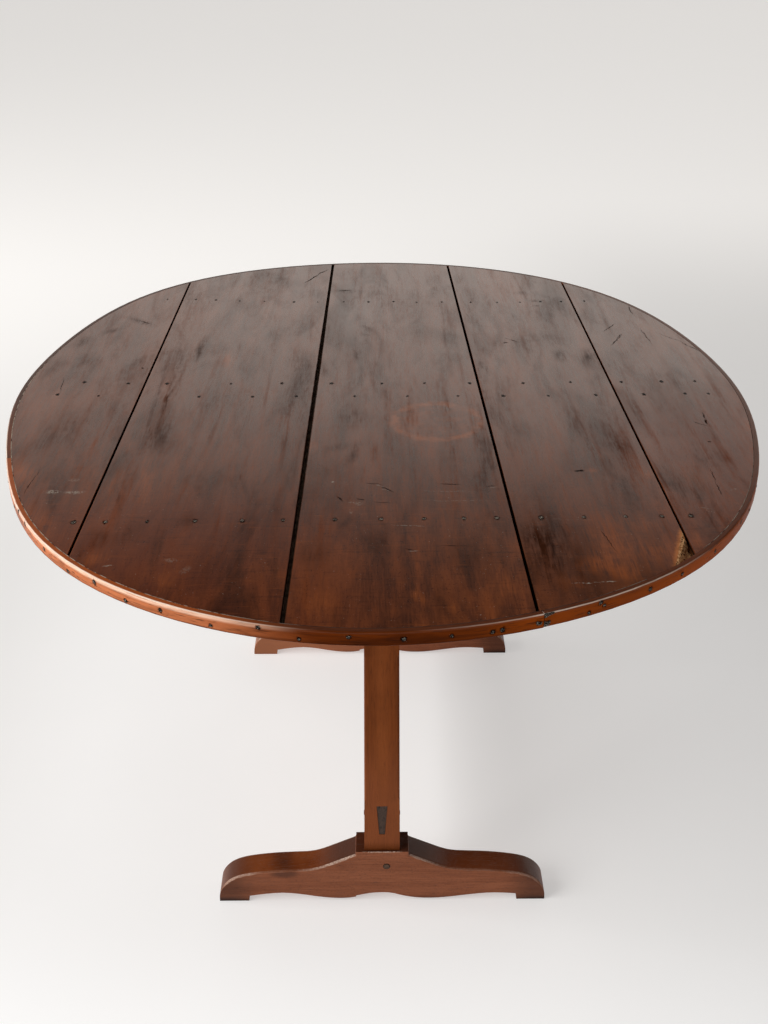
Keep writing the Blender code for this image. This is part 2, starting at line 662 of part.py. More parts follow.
TOP_PIECES = [f"plank_{i}" for i in range(1, 6)]
TOP_PIECES += ["edge_band_front", "edge_band_right", "edge_band_back"]
TOP_PIECES += ["front_batten", "middle_batten", "rear_batten", "front_pivot_cheek", "rear_pivot_cheek"]
pivot_at = (PIVOT_X, 0.0, PIVOT_Z)
top_axis = hang("top_pivot", pivot_at, [bpy.data.objects[n] for n in TOP_PIECES])
lock_axis = hang("lock_slide", (lock_at[0], lock_tip, lock_at[1]), [lock_peg])
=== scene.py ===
"""Looks of the oval wine tasting table: waxed planks, a bent band, nails and a trestle, in a pale studio."""

import math

import bpy
import numpy as np
from mathutils import Matrix, Vector


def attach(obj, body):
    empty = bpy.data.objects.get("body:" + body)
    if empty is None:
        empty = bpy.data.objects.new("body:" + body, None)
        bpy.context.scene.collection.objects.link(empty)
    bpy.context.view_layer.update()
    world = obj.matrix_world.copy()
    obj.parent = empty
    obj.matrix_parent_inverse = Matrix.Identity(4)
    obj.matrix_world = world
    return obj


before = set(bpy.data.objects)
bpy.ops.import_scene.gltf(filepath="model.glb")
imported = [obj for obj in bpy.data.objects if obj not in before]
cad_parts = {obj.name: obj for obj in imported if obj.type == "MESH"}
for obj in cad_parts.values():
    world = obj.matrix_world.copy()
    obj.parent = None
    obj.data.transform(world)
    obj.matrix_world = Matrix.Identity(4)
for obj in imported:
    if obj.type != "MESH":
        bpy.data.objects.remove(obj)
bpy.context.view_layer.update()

# Sizes shared with the solids: metres, degrees for turns, (place, slope) for the joints between planks
TOP = 0.730
HALF_X = 0.5790
HALF_Y = 0.6766
OVAL_POWER = 2.0095
OVAL_SWELLS = (
    (1, -0.0081, 0.0070), (2, -0.0006, -0.0054), (3, 0.0033, 0.0049), (4, -0.0150, -0.0017),
    (5, -0.0008, -0.0018), (6, 0.0041, 0.0009), (7, -0.0008, 0.0009), (8, 0.0025, -0.0006),
)
PLANK_THICK = 0.0185
BAND_THICK = 0.0078
BAND_TALL = 0.0190
BAND_JOINTS = (-73.9, 62.0, -157.4)
JOINT_LINES = ((-0.3798, 0.0201), (-0.1035, 0.0177), (0.1601, -0.0302), (0.3741, -0.0279))
JOINT_GAPS = (0.0037, 0.0053, 0.0045, 0.0038)
TENON_FACE = 0.3567
BLOCK_TOP = 0.104
FOOT_FACE = 0.3635
FOOT_PEG = (0.0070, 0.0730)
WORN_START = (0.3832, -0.4475)
WORN_ACROSS = (0.958, -0.286)
PLANK_LEANS = (0.0, 0.012, 0.0, -0.02, -0.03)

# Tones of wood, wax, stain and rust, as linear light
UMBER = (0.040, 0.0135, 0.0075)
CHESTNUT = (0.192, 0.0520, 0.0185)
RUSSET = (0.350, 0.088, 0.0190)
SOOT = (0.006, 0.0045, 0.004)
JOINT_DIRT_AND_SHADE = (0.011, 0.0065, 0.0042)
RAW_WOOD = (0.620, 0.350, 0.170)
CHALK = (0.420, 0.370, 0.310)
BAND_DARK = (0.050, 0.0090, 0.0010)
BAND_RED = (0.220, 0.040, 0.0022)
BAND_WARM = (0.390, 0.074, 0.0050)
BAND_RUBBED_LIT = (0.600, 0.190, 0.0750)
POST_DARK = (0.105, 0.026, 0.0065)
POST_AMBER = (0.230, 0.059, 0.0140)
FOOT_DARK = (0.132, 0.029, 0.0062)
FOOT_RED = (0.352, 0.117, 0.0520)
UNDER_DARK = (0.080, 0.036, 0.0160)
UNDER_PALE = (0.210, 0.105, 0.0480)
NEAR_RED = (0.120, 0.021, 0.0055)
RIGHT_RED = (0.260, 0.044, 0.0060)
PATCH_DARK = (0.022, 0.0085, 0.0055)
TONGUE_PALE = (0.340, 0.240, 0.170)
STAIN_ORANGE = (0.330, 0.110, 0.050)
WORN_BORDER = (0.600, 0.210, 0.0600)
RAW_SHADE = (0.260, 0.100, 0.036)
BAND_HIGHLIGHT_PAINT = (0.950, 0.620, 0.450)
BAND_WORN_HIGHLIGHT = (0.920, 0.740, 0.620)
POST_WARM = (0.300, 0.085, 0.0230)
POST_LOW = (0.310, 0.098, 0.0420)
FOOT_LIT_PAINT = (0.300, 0.080, 0.0180)
FOOT_LIT_REAR = (0.400, 0.150, 0.0700)
ARRIS_WEAR_HIGHLIGHT = (0.640, 0.470, 0.380)
CHEEK_PALE = (0.170, 0.080, 0.036)
WAX_PALE = (0.420, 0.350, 0.280)
NAIL_STAIN = (0.008, 0.005, 0.004)
RUST = (0.060, 0.022, 0.010)

# Pairs of tones, the darker first
END_GRAIN = ((0.036, 0.022, 0.016), (0.105, 0.063, 0.046))
PEG_TONES = ((0.022, 0.013, 0.009), (0.060, 0.032, 0.020))
FOOT_PEG_TONES = ((0.040, 0.022, 0.014), (0.130, 0.070, 0.042))
PIN_TONES = ((0.060, 0.026, 0.012), (0.150, 0.070, 0.030))
DARK_IRON = ((0.003, 0.0025, 0.002), (0.022, 0.018, 0.014))
WORN_IRON_GLINT = ((0.003, 0.0025, 0.002), (0.300, 0.260, 0.220))
RUBBED_IRON_GLINT = ((0.012, 0.009, 0.007), (0.500, 0.430, 0.350))

# Floor and light
FLOOR_TONES = ((0.575, 0.575, 0.58), (0.655, 0.655, 0.66))
FLOOR_FRONT = (0.81, 0.83, 0.85)
FLOOR_LEFT = (0.46, 0.45, 0.44)
FLOOR_FAR = (0.88, 0.87, 0.86)
FLOOR_SHADOW_FAR_RIGHT = (0.50, 0.49, 0.48)
GLOW_NEAR = (1.0, 0.993, 0.986)
GLOW_FAR = (1.18, 1.155, 1.13)
GLOW_SHADOW_RIGHT = (0.88, 0.865, 0.85)
FLOOR_RADIUS = 20.0
FLOOR_SIDES = 96
FLOOR_LEVEL = -0.0004
SKY_FRONT = (0.22, 0.217, 0.215)
SKY_BACK = (1.20, 1.12, 1.04)
SKY_LEFT = (0.0, 0.0, 0.0)
SKY_CEILING = (0.02, 0.02, 0.02)
SKY_BESIDE = (0.42, 0.415, 0.40)
WINDOW_COLOUR = (1.0, 0.985, 0.96)
WINDOW_SIZE = (4.6, 3.0)
WINDOW_WATTS = 262.0
WINDOW_PLACE = (-4.3, -1.3, 2.9)
WINDOW_AIM = (0.0, 0.0, 0.55)

# Camera at the viewing angle of the picture, taken as 768 by 1024
CAMERA_PLACE = (-0.00791, -1.84035, 1.53715)
CAMERA_TILT = 0.50706
CAMERA_YAW = 0.00771
CAMERA_ROLL = 0.00109
FOCAL_PIXELS = 1260.97
PICTURE_TALL = 1024

# Depth of the reliefs, rise of the small pieces, half width and inset of the wax line, in metres
PLANK_RELIEF = 0.00026
BAND_RELIEF = 0.00025
TRESTLE_RELIEF = 0.00028
IRON_RELIEF = 0.00030
STAIN_RISE = 0.00008
PLANK_NAIL_RISE = 0.00030
BAND_NAIL_RISE = 0.00045
WAX_HALF = 0.00055
WAX_INSET = BAND_THICK + 0.00015

# Counts, turns in degrees and sizes of the small pieces
NAIL_SIDES = 8
STAIN_SIDES = 14
HIDDEN_START = 6.5
HIDDEN_END = 3.0
HIDDEN_STEP = 6.1
HIDDEN_STRAY = 1.4
JOINT_CLEAR = 2.0
HIDDEN_HEIGHTS = (0.7155, 0.7235)
BAND_NAIL_SIZES = (0.0020, 0.0028)
WAX_TURNS = (-50.5, 360 - 60.5)
WAX_STEPS = 620

# Shading of the solids: how near points join, and the bend from which an edge stays sharp
MERGE_REACH = 0.00001
SHARP_BEND = math.radians(58)

# Nails in the planks, row by row: (x, y)
REAR_ROW = (
    (-0.3998, 0.4467), (-0.3459, 0.4445), (-0.3076, 0.4413), (-0.262, 0.4352), (-0.2153, 0.433), (-0.1596, 0.4285),
    (-0.115, 0.428), (-0.0655, 0.4286), (-0.019, 0.427), (0.0281, 0.4292), (0.0713, 0.4249), (0.119, 0.4255),
    (0.1729, 0.4238), (0.2224, 0.4216), (0.2658, 0.4228), (0.3045, 0.4251), (0.3436, 0.4258), (0.3875, 0.4281),
)
MIDDLE_ROW_FAR = (
    (-0.4777, 0.0505), (-0.4062, 0.0445), (-0.3433, 0.0426), (-0.2403, 0.0415), (-0.1581, 0.0419), (-0.0778, 0.041),
    (0.0034, 0.0402), (0.0722, 0.0407), (0.1451, 0.0399), (0.2313, 0.039), (0.3085, 0.0423), (0.3908, 0.0423),
    (0.4559, 0.0428), (0.5103, 0.0439),
)
MIDDLE_ROW_NEAR = (
    (-0.511, 0.0008), (-0.4449, -0.005), (-0.2856, -0.0097), (-0.201, -0.0106), (-0.132, -0.0094), (-0.04, -0.0103),
    (0.0435, -0.0112), (0.1233, -0.0105), (0.1947, -0.0112), (0.266, -0.012), (0.3414, -0.0096), (0.4179, -0.0077),
    (0.4837, -0.0052), (0.5208, -0.0056),
)
FRONT_ROW = (
    (-0.4004, -0.4112), (-0.3591, -0.4107), (-0.3052, -0.4101), (-0.2429, -0.4094), (-0.1818, -0.4087),
    (-0.1285, -0.4081), (-0.0608, -0.4073), (-0.0008, -0.4066), (0.0554, -0.406), (0.1076, -0.4054),
    (0.1508, -0.4049), (0.2085, -0.4042), (0.2648, -0.4036), (0.3193, -0.4029), (0.3673, -0.4024), (0.405, -0.402),
)

# Nails in the band: turn round the oval in degrees, and height
BAND_NAILS = (
    (-142.2, 0.7272), (-139.1, 0.725), (-133.0, 0.7205), (-127.7, 0.716), (-122.9, 0.7225), (-118.3, 0.7155),
    (-113.7, 0.7195), (-107.8, 0.7165), (-102.7, 0.7258), (-98.6, 0.7165), (-93.7, 0.723), (-88.3, 0.7195),
    (-83.6, 0.7195), (-79.4, 0.718), (-78.4, 0.719), (-68.7, 0.7165), (-67.3, 0.7262), (-66.8, 0.721), (-60.6, 0.72),
    (-55.5, 0.72), (-48.9, 0.721),
)

# Bent nails at the band's front joint: turn, height, length, climb, lean of the outward side, half thickness
CLENCHED_NAILS = (
    (-73.35, 0.7288, 0.013, 0.002, 0.75, 0.002), (-74.45, 0.7194, 0.008, -0.001, 0.0, 0.0021),
    (-73.55, 0.7175, 0.009, 0.003, 0.0, 0.0026),
)

# Marks of use on each plank, in millimetres from (x, y) to (x, y): half width, then strength (cracks have none)
SOFT_STREAKS = {
    1: ((-458.5, 351.2, -405.8, 304.5, 8, 0.9), (-530.2, 204.2, -507.4, 246.5, 12, 0.7),
        (-487.4, 270.6, -462.5, 290.1, 7, 0.6), (-404.1, 117.6, -402.8, 161.7, 10, 0.5),
        (-425, 330, -435, 140, 34, 0.16), (-547.5, 68.2, -538.1, 145.3, 10, 0.5),
        (-454.9, -32.2, -477.7, -220.5, 22, 0.45)),
    2: ((-354, 370, -348, 140, 34, 0.18), (-308.1, 240.5, -308.6, 126.2, 6, 0.9),
        (-339.8, 211.5, -332.3, -2.6, 18, 0.6), (-334.8, -114.3, -312, -199.5, 18, 0.7),
        (-363.3, 540.2, -358.6, 355.3, 12, 0.6), (-354.9, 134.5, -349, -138.6, 3.5, 0.6),
        (-335.6, 91.1, -333.2, -124.8, 3, 0.6), (-135.6, 177, -127.9, -98.5, 20, 0.5),
        (-132.1, 537.7, -100.5, 411.4, 14, 0.45), (-356.6, -434, -355.1, -469.4, 14, 0.6),
        (-320.6, -410.9, -327.3, -469.7, 14, 0.5), (-252.4, -406.3, -241.6, -409.1, 18, 0.6),
        (-224.2, -458.2, -214, -597.5, 20, 0.35)),
    3: ((-89.6, 490.1, -33.8, 489.4, 10, 0.5), (-31.1, 383.5, -21.2, 208.1, 8, 0.5),
        (-35.2, 185.1, -37.7, 131.2, 8, 0.6), (-47, -127.8, -43.7, -44.1, 14, 0.7),
        (-27.6, -117.4, -21.8, -63.1, 10, 0.5), (-73.4, -198.7, -28.6, -179.3, 10, 0.5),
        (-30.6, -182.6, -47.9, -250.1, 7, 0.8), (72.4, 319.6, 71.3, 230.7, 16, 0.35),
        (66.5, 494.2, 66.8, 437.2, 12, 0.35), (-85.5, -472.1, -86.3, -513.2, 16, 0.6),
        (108.3, -474, 106, -545.3, 20, 0.6), (-4.8, -440.1, -1.2, -480.3, 10, 0.5)),
    4: ((308, 181.4, 303.8, 136.4, 10, 0.9), (358.3, 185.5, 348.3, 118.3, 12, 1),
        (300.7, 262.1, 295.4, 218.9, 28, 0.4), (165, 137.9, 180.9, 75.2, 5, 0.6),
        (261.5, 474.7, 282.6, 474.4, 8, 0.5), (285.3, 429.2, 308.3, 431.7, 3.5, 0.8),
        (289.8, 401.7, 301, 401.5, 3.5, 0.7), (325.5, -189.6, 364.5, -199.9, 16, 0.25),
        (195.5, -449.7, 200.8, -469.9, 20, 0.6), (200, -400, 208, -590, 36, 1.0)),
    5: ((483.1, -214.1, 474, -252.3, 16, 0.4), (357.6, 158.2, 369.5, 83.7, 8, 0.4), (453.4, 82.8, 493, 0.6, 14, 0.3)),
}
RUBBED_STREAKS = {
    1: ((-522.6, -229.6, -483.7, -309.2, 16, 0.7), (-484.9, -349.4, -405.5, -468.9, 16, 0.5)),
    2: ((-258.6, 178.3, -251.6, 107.3, 7, 0.8), (-365.3, -165.8, -361.6, -205.6, 8, 0.7),
        (-368.1, -236.5, -366.1, -382.9, 7, 0.45), (-333.2, -202.6, -314, -383.4, 9, 0.5),
        (-359.6, -510.5, -352.5, -496.3, 14, 0.6), (-265.3, -541.7, -261.1, -570.9, 12, 0.5)),
    3: ((39.8, -573.9, 39, -600, 4.5, 0.9), (48.8, -587.1, 48.1, -608.6, 6, 0.6),
        (84.2, -608.9, 79.8, -625.7, 6, 0.6), (-67.9, -588.1, -70.3, -620.1, 16, 0.5),
        (148.3, -545.7, 152.2, -592.4, 12, 0.6), (-107.8, -204.9, -103.1, -181.9, 12, 0.5)),
    4: ((252.8, -518.9, 280.7, -528.5, 16, 1), (289.3, -535.6, 298.2, -554, 12, 0.7),
        (221.1, -553.2, 228.2, -571.3, 14, 0.7), (368.8, -261.8, 378.2, -296.6, 10, 0.8),
        (342.6, -512.7, 354.9, -476.4, 22, 0.7), (289.8, -272.1, 301.4, -269.1, 5, 0.6),
        (336.6, -412.2, 351, -438.5, 20, 0.4), (296, -420, 290, -570, 36, 0.8)),
    5: ((560.7, -105.6, 554, -147.9, 10, 0.7), (435.9, -258.1, 433.6, -330.1, 20, 0.4),
        (399.9, -444.1, 397.7, -476.8, 6, 1)),
}
PALE_SCUFFS = {
    1: ((-451.7, -326.9, -437.9, -328.2, 5, 1), (-425, -328.4, -406.2, -327.4, 4.2, 0.8),
        (-431.3, -292, -420.2, -292.1, 5, 0.3)),
    2: ((-266.7, -506.7, -256.7, -508, 4, 0.25), (-244.2, -537.3, -237.5, -523.5, 4, 0.18),
        (-341.6, -521.3, -331.2, -517.9, 1.6, 0.6)),
    3: ((-12.5, -308.1, 12, -320, 1.6, 0.35), (-41.9, -359.4, -25.9, -362.4, 2.2, 0.4),
        (47.3, -329.1, 134.1, -331.4, 1, 0.3), (51.8, -356.1, 145.5, -358.5, 1, 0.3),
        (12.1, -420.8, 59.8, -425.2, 1, 0.45), (32.4, -488.4, 43, -488.1, 1, 0.7),
        (-0.3, -322.8, 18.7, -328.8, 1.6, 0.35), (145.7, -321.9, 159.5, -320.3, 1.2, 0.45),
        (-67.9, -300.1, -66, -300.1, 1.6, 0.9), (-30.5, -366.2, -26.5, -366.2, 3, 0.35),
        (-41.5, -386.9, -39.7, -387, 2.2, 0.5)),
    4: ((224.2, -565.9, 239.9, -565.1, 0.8, 0.4), (238.7, -565.1, 249.5, -564.8, 1.1, 1),
        (249.5, -564.8, 264.2, -563.1, 0.7, 0.4), (264.2, -563.1, 280, -561.5, 1.1, 1),
        (208, -408.2, 279.4, -411.1, 0.7, 0.25)),
    5: ((474.4, -330.5, 483.3, -327.7, 2, 0.4), (416.1, -377.8, 437.6, -382.2, 1.2, 0.3)),
}
CRACKS = {
    1: ((-479.2, -256, -482.8, -336.4, 0.6), (-513.6, 67.8, -507.3, 7.1, 0.6), (-395, 108.9, -393.1, 105.4, 2.2),
        (-434.1, 335.3, -408.4, 309.5, 1)),
    2: ((-142.7, 539, -120.3, 589.4, 1.8), (-120.3, 589.4, -102.3, 618.7, 1.8)),
    3: ((-78, 488.8, -51.2, 493.1, 1.6), (-17.9, -305.4, 1.9, -311.1, 1.4), (1.8, -317, 20.4, -333.1, 1.3),
        (-60.6, -344.9, -50.3, -357.4, 1.5), (-32, -350, -23.5, -354, 1.3), (-10.1, -357.8, 11.5, -363, 0.9),
        (79.2, -308.4, 111.5, -312.2, 1), (143.7, -318.1, 158.5, -316.5, 1.3), (71.4, -476.8, 118.5, -477.3, 0.5),
        (31.9, -483.1, 40, -486.6, 1)),
    4: ((219.9, 238.7, 241.5, 219.4, 1.1), (215.9, 215.9, 222.1, 216.8, 2), (273, -271.9, 284.1, -272.6, 3),
        (280.4, -437.8, 294.1, -493, 0.7)),
    5: ((465.6, 400.3, 465.6, 357.4, 1.4), (399.7, 270.4, 426.9, 310.2, 1.2), (402.9, 204.5, 426.3, 247.6, 1.6),
        (416.9, 236.6, 429, 255.9, 1.2), (467, 281.1, 471.2, 209, 1), (494.9, 258.1, 523.7, 218.8, 1),
        (523.7, 218.8, 548.2, 171.1, 1.2), (493.3, -77.3, 493.4, -97.7, 1.6), (493.3, -101.3, 492.6, -118.5, 1.8),
        (473.6, -110.5, 492.4, -126.6, 0.9), (479.5, -180.1, 484.4, -180.9, 1.6), (459.8, -266.1, 461.3, -305.4, 0.8),
        (461.3, -305.4, 461, -347.5, 0.7)),
}
RING_STAIN = (0.0859, -0.1043)
RING_RADIUS = 0.0640
FRESH_WAX = (-40, 240, -45, 480, 50)


# Shader expressions
class Shade:
    """One output of a node; arithmetic on Shades adds Math nodes to the same finish."""

    def __init__(self, finish, socket):
        self.finish = finish
        self.socket = socket

    def math(self, operation, *values):
        return self.finish.node("ShaderNodeMath", {"operation": operation}, dict(enumerate(values)))

    def __add__(self, other):
        return self.math("ADD", self, other)

    def __sub__(self, other):
        return self.math("SUBTRACT", self, other)

    def __rsub__(self, other):
        return self.math("SUBTRACT", other, self)

    def __mul__(self, other):
        return self.math("MULTIPLY", self, other)

    def __pow__(self, other):
        return self.math("POWER", self, other)

    def __abs__(self):
        return self.math("ABSOLUTE", self)

    __radd__ = __add__
    __rmul__ = __mul__

    def most(self, other):
        return self.math("MAXIMUM", self, other)

    def fade(self, start, end):
        """0 before start, 1 after end, eased between them; start may lie above end."""
        inputs = {"Value": self, "From Min": start, "From Max": end, "To Min": 0.0, "To Max": 1.0}
        return self.finish.node("ShaderNodeMapRange", {"interpolation_type": "SMOOTHSTEP"}, inputs)


class Finish:
    """A node tree that Shades are added to: a material, the world's light or a geometry tree."""

    def __init__(self, tree):
        self.tree = tree

    def node(self, kind, settings, sockets, out=0):
        """Adds one node: its type, its settings, then values or links for its sockets."""
        made = self.tree.nodes.new(kind)
        for key, value in settings.items():
            setattr(made, key, value)
        for key, value in sockets.items():
            if isinstance(value, Shade):
                self.tree.links.new(value.socket, made.inputs[key])
            else:
                made.inputs[key].default_value = value
        return Shade(self, made.outputs[out])

    def place(self, kind="Object"):
        """The three parts of the place on the piece, or of its surface direction."""
        spot = self.node("ShaderNodeTexCoord", {}, {}, kind)
        parts = self.node("ShaderNodeSeparateXYZ", {}, {0: spot})
        return [Shade(self, out) for out in parts.socket.node.outputs]

    def vector(self, x, y, z):
        return self.node("ShaderNodeCombineXYZ", {}, {0: x, 1: y, 2: z})

    def noise(self, spot, detail=2.0, roughness=0.5, distortion=0.0):
        """Soft random values near 0.5 over the given place."""
        inputs = {"Vector": spot, "Scale": 1.0, "Detail": detail, "Roughness": roughness, "Distortion": distortion}
        return self.node("ShaderNodeTexNoise", {}, inputs)

    def mix(self, first, second, share):
        """The first colour turning into the second by the share."""
        colours = [c if isinstance(c, Shade) else (*c, 1.0) for c in (first, second)]
        settings = {"data_type": "RGBA", "clamp_factor": True}
        return self.node("ShaderNodeMix", settings, {0: share, 6: colours[0], 7: colours[1]}, 2)

    def bent_place(self, x, y, z):
        """The place on the piece moved a little by two noises, so that marks fray."""
        spot = self.vector(x, y, z)
        for size, reach in ((38.0, 0.010), (190.0, 0.0034)):
            inputs = {"Vector": spot, "Scale": size, "Detail": 2.0, "Roughness": 0.5}
            wander = self.node("ShaderNodeTexNoise", {}, inputs, "Color")
            shape = {0: wander, 1: (reach, reach, 0.0), 2: (-reach / 2, -reach / 2, 0.0)}
            moved = self.node("ShaderNodeVectorMath", {"operation": "MULTIPLY_ADD"}, shape)
            spot = self.node("ShaderNodeVectorMath", {"operation": "ADD"}, {0: spot, 1: moved})
        return spot

    def mark(self, spot, ax, ay, bx, by, wide, soft=0.35):
        """A long spot on the top: distance from the middle of a line, given in millimetres, in half lengths
        and half widths."""
        ax, ay, bx, by, wide = (value / 1000 for value in (ax, ay, bx, by, wide))
        long = math.hypot(bx - ax, by - ay) / 2
        shape = {"Vector": spot, "Location": ((ax + bx) / 2, (ay + by) / 2, TOP),
                 "Rotation": (0, 0, math.atan2(by - ay, bx - ax)), "Scale": (long * 1.1 + wide, wide * 1.25, 0.5)}
        local = self.node("ShaderNodeMapping", {"vector_type": "TEXTURE"}, shape)
        reach = self.node("ShaderNodeVectorMath", {"operation": "LENGTH"}, {0: local}, "Value")
        return reach.fade(1.15, soft)

    def link(self, shade, socket):
        """Joins one Shade to a socket of the surface."""
        self.tree.links.new(shade.socket, self.tree.nodes["Principled BSDF"].inputs[socket])

    def paint(self, colour, roughness, height=None, depth=0.0, **constants):
        """Joins colour, roughness and relief to the surface; the rest is the same all over."""
        self.link(colour, "Base Color")
        self.link(roughness, "Roughness")
        if height is not None:
            relief = self.node("ShaderNodeBump", {}, {"Strength": 1.0, "Distance": depth, "Height": height})
            self.link(relief, "Normal")
        surface = self.tree.nodes["Principled BSDF"]
        for key, value in constants.items():
            surface.inputs[key.replace("_", " ")].default_value = value


def new_finish(name):
    """A fresh material and the tree its nodes go into."""
    made = bpy.data.materials.new(name)
    made.use_nodes = True
    return made, Finish(made.node_tree)


# Finishes
def plank_wood(number):
    """Dark waxed plank: blotches and a broad figure with pores along it, redder where rubbed, with its own
    marks, under a wax that is thinner in the marks."""
    material, f = new_finish(f"plank_wood_{number}")
    x, y, z = f.place()
    shift = 1.7 * number
    across = x - y * PLANK_LEANS[number - 1] + shift

    # Grain, from broad to fine, and noises that fray the marks
    figure = f.noise(f.vector(across * 16, y * 2.0 + shift, z * 16), 5.0, 0.62, 0.9)
    cloud = f.noise(f.vector(across * 6.5, y * 2.6 - shift, z * 6), 3.0, 0.6, 0.4)
    blotch = f.noise(f.vector(across * 19, y * 5.0 + shift, z * 19), 5.0, 0.62, 0.9)
    drag = f.noise(f.vector(across * 44, y * 3.0 - shift, z * 44), 3.0, 0.55, 0.5)
    streak = f.noise(f.vector(across * 105, y * 6.0, z * 105), 4.0, 0.65, 0.3)
    fibre = f.noise(f.vector(across * 430, y * 36.0, z * 430), 3.0, 0.6)
    speck = f.noise(f.vector(x * 420, y * 300, z * 420), 2.0, 0.6)
    ragged = f.noise(f.vector(x * 75, y * 75, z * 75), 3.0, 0.6)
    brushed = f.noise(f.vector(across * 24, y * 210, z * 24), 3.0, 0.6, 0.4)
    patch = f.noise(f.vector(across * 15, y * 3.4 + 2.0 * shift, z * 15), 6.0, 0.66, 0.5)
    near = y.fade(-0.22, -0.42)
    grainy = 1.0 - y.fade(-0.15, 0.20) * 0.45
    smoky = y.fade(-0.25, 0.15) * 0.6 + 0.4
    hairs = streak * 0.5 + fibre * 0.3 + ragged * 0.2

    # Colour of the wood
    tone = figure.fade(0.30, 0.70) * 0.32 + blotch.fade(0.30, 0.70) * 0.26 + streak.fade(0.32, 0.68) * 0.24
    tone = tone + fibre.fade(0.32, 0.68) * 0.26
    colour = f.mix(UMBER, CHESTNUT, tone)
    warm = cloud.fade(0.52, 0.80) * 0.26 + y.fade(-0.30, -0.55) * blotch.fade(0.40, 0.70) * 0.30
    colour = f.mix(colour, RUSSET, warm)
    colour = f.mix(colour, NEAR_RED, y.fade(-0.26, -0.46) * x.fade(0.10, -0.30) * 0.50)
    colour = f.mix(colour, UMBER, cloud.fade(0.47, 0.24) * 0.55)
    colour = f.mix(colour, RIGHT_RED, x.fade(0.30, 0.46) * y.fade(0.05, -0.20) * 0.20)
    patchy = patch.fade(0.47, 0.66) * (hairs.fade(0.36, 0.56) * 0.50 + 0.30) * (y.fade(0.05, -0.35) * 0.60 + 0.25)
    colour = f.mix(colour, PATCH_DARK, patchy)
    colour = f.mix(colour, SOOT, speck.fade(0.58, 0.72) * 0.42)
    colour = f.mix(colour, RUSSET, brushed.fade(0.58, 0.72) * near * 0.16)
    colour = f.mix(colour, SOOT, brushed.fade(0.42, 0.30) * near * 0.24)
    colour = f.mix(colour, CHALK, speck.fade(0.30, 0.25) * near * ragged.fade(0.46, 0.60) * 0.50)

    # Wax, thinner in blotches and along the grain, and relief
    dull = streak * 0.20 + cloud * 0.20 + 0.20
    wax = 1.0 - cloud.fade(0.50, 0.25) * 0.20 - blotch.fade(0.54, 0.28) * smoky * 0.20
    wax = wax - patch.fade(0.46, 0.68) * (hairs.fade(0.40, 0.58) * 0.18 + 0.07)
    wax = wax - x.fade(0.34, 0.52) * y.fade(0.12, -0.06) * 0.20
    lines = fibre.fade(0.46, 0.70) * 0.16 + streak.fade(0.48, 0.72) * 0.14
    wax = wax - (lines + drag.fade(0.50, 0.70) * (hairs.fade(0.40, 0.58) * 0.30 + 0.04)) * grainy
    height = streak * 0.4 + fibre * 0.3 + figure * 1.2 + blotch * 0.6

    # Placed marks of use
    spot = f.bent_place(x, y, z)
    for *line, wide, strength in RUBBED_STREAKS[number]:
        rubbed = f.mark(spot, *line, wide * 1.3, -0.2) * hairs.fade(0.36, 0.56) * strength
        colour = f.mix(colour, RUSSET, rubbed * 0.70)
    for *line, wide, strength in SOFT_STREAKS[number]:
        smudge = f.mark(spot, *line, wide * 1.4, -0.3) * (hairs.fade(0.40, 0.57) * 0.75 + 0.25) * strength
        colour = f.mix(colour, SOOT, smudge * 0.85)
        wax = wax - smudge * 0.62
    for *line, wide, strength in PALE_SCUFFS[number]:
        scuff = f.mark(spot, *line, wide) * speck.fade(0.40, 0.56) * strength
        colour = f.mix(colour, CHALK, scuff * 0.75)
        wax = wax - scuff * 0.5
    for *line, wide in CRACKS[number]:
        crack = f.mark(spot, *line, wide * 0.75, 0.45) * (ragged.fade(0.34, 0.52) * 0.6 + 0.4)
        colour = f.mix(colour, SOOT, crack * 0.90)
        height = height - crack * 2.0
        wax = wax - crack * 0.9
    if number == 3:
        wax = wax + f.mark(spot, *FRESH_WAX, -0.3) * 0.13
        colour, wax = ring_stain(f, colour, wax, ragged)

    # Joint edges: rubbed arrises with a dark joint between them, the second one wider and with its tongue in sight;
    # below the top the joint walls carry dirt and painted shade
    for line, gap in zip(JOINT_LINES, JOINT_GAPS):
        reach = abs(x - y * line[1] - line[0]) - gap / 2
        rubbed = reach.fade(0.0022, 0.0004) * cloud.fade(0.48, 0.60) * z.fade(TOP - 0.002, TOP - 0.001)
        colour = f.mix(colour, RUSSET, rubbed * 0.20)
        height = height - reach.fade(0.0012, 0.0) * 0.3
    split = abs(x - y * JOINT_LINES[1][1] - JOINT_LINES[1][0]) - JOINT_GAPS[1] / 2
    gape = y.fade(0.50, 0.10) * (y.fade(-0.55, -0.15) * 0.5 + 0.5)
    split = (split - gape * 0.0011).fade(0.0004, -0.0003) * (ragged.fade(0.30, 0.48) * 0.3 + 0.7)
    # Below the top surface the joint walls go near black: dirt and painted shade
    sunk_dirt_and_shade = z.fade(TOP - 0.0006, TOP - 0.0030)
    if number == 4:
        colour, wax, height, sunk_dirt_and_shade = worn_corner(f, colour, wax, height, sunk_dirt_and_shade, ragged)
    colour = f.mix(colour, JOINT_DIRT_AND_SHADE, (sunk_dirt_and_shade * 0.94).most(split * 0.80))
    wax = wax - split * 0.8
    if number in (2, 3):
        tongue = z.fade(TOP - 0.0060, TOP - 0.0066) * z.fade(TOP - 0.0080, TOP - 0.0074)
        tongue = tongue * f.place("Normal")[2].fade(0.5, 0.9) * abs(x - JOINT_LINES[1][0]).fade(0.05, 0.04)
        colour = f.mix(colour, TONGUE_PALE, tongue * (ragged.fade(0.35, 0.60) * 0.6 + 0.4))

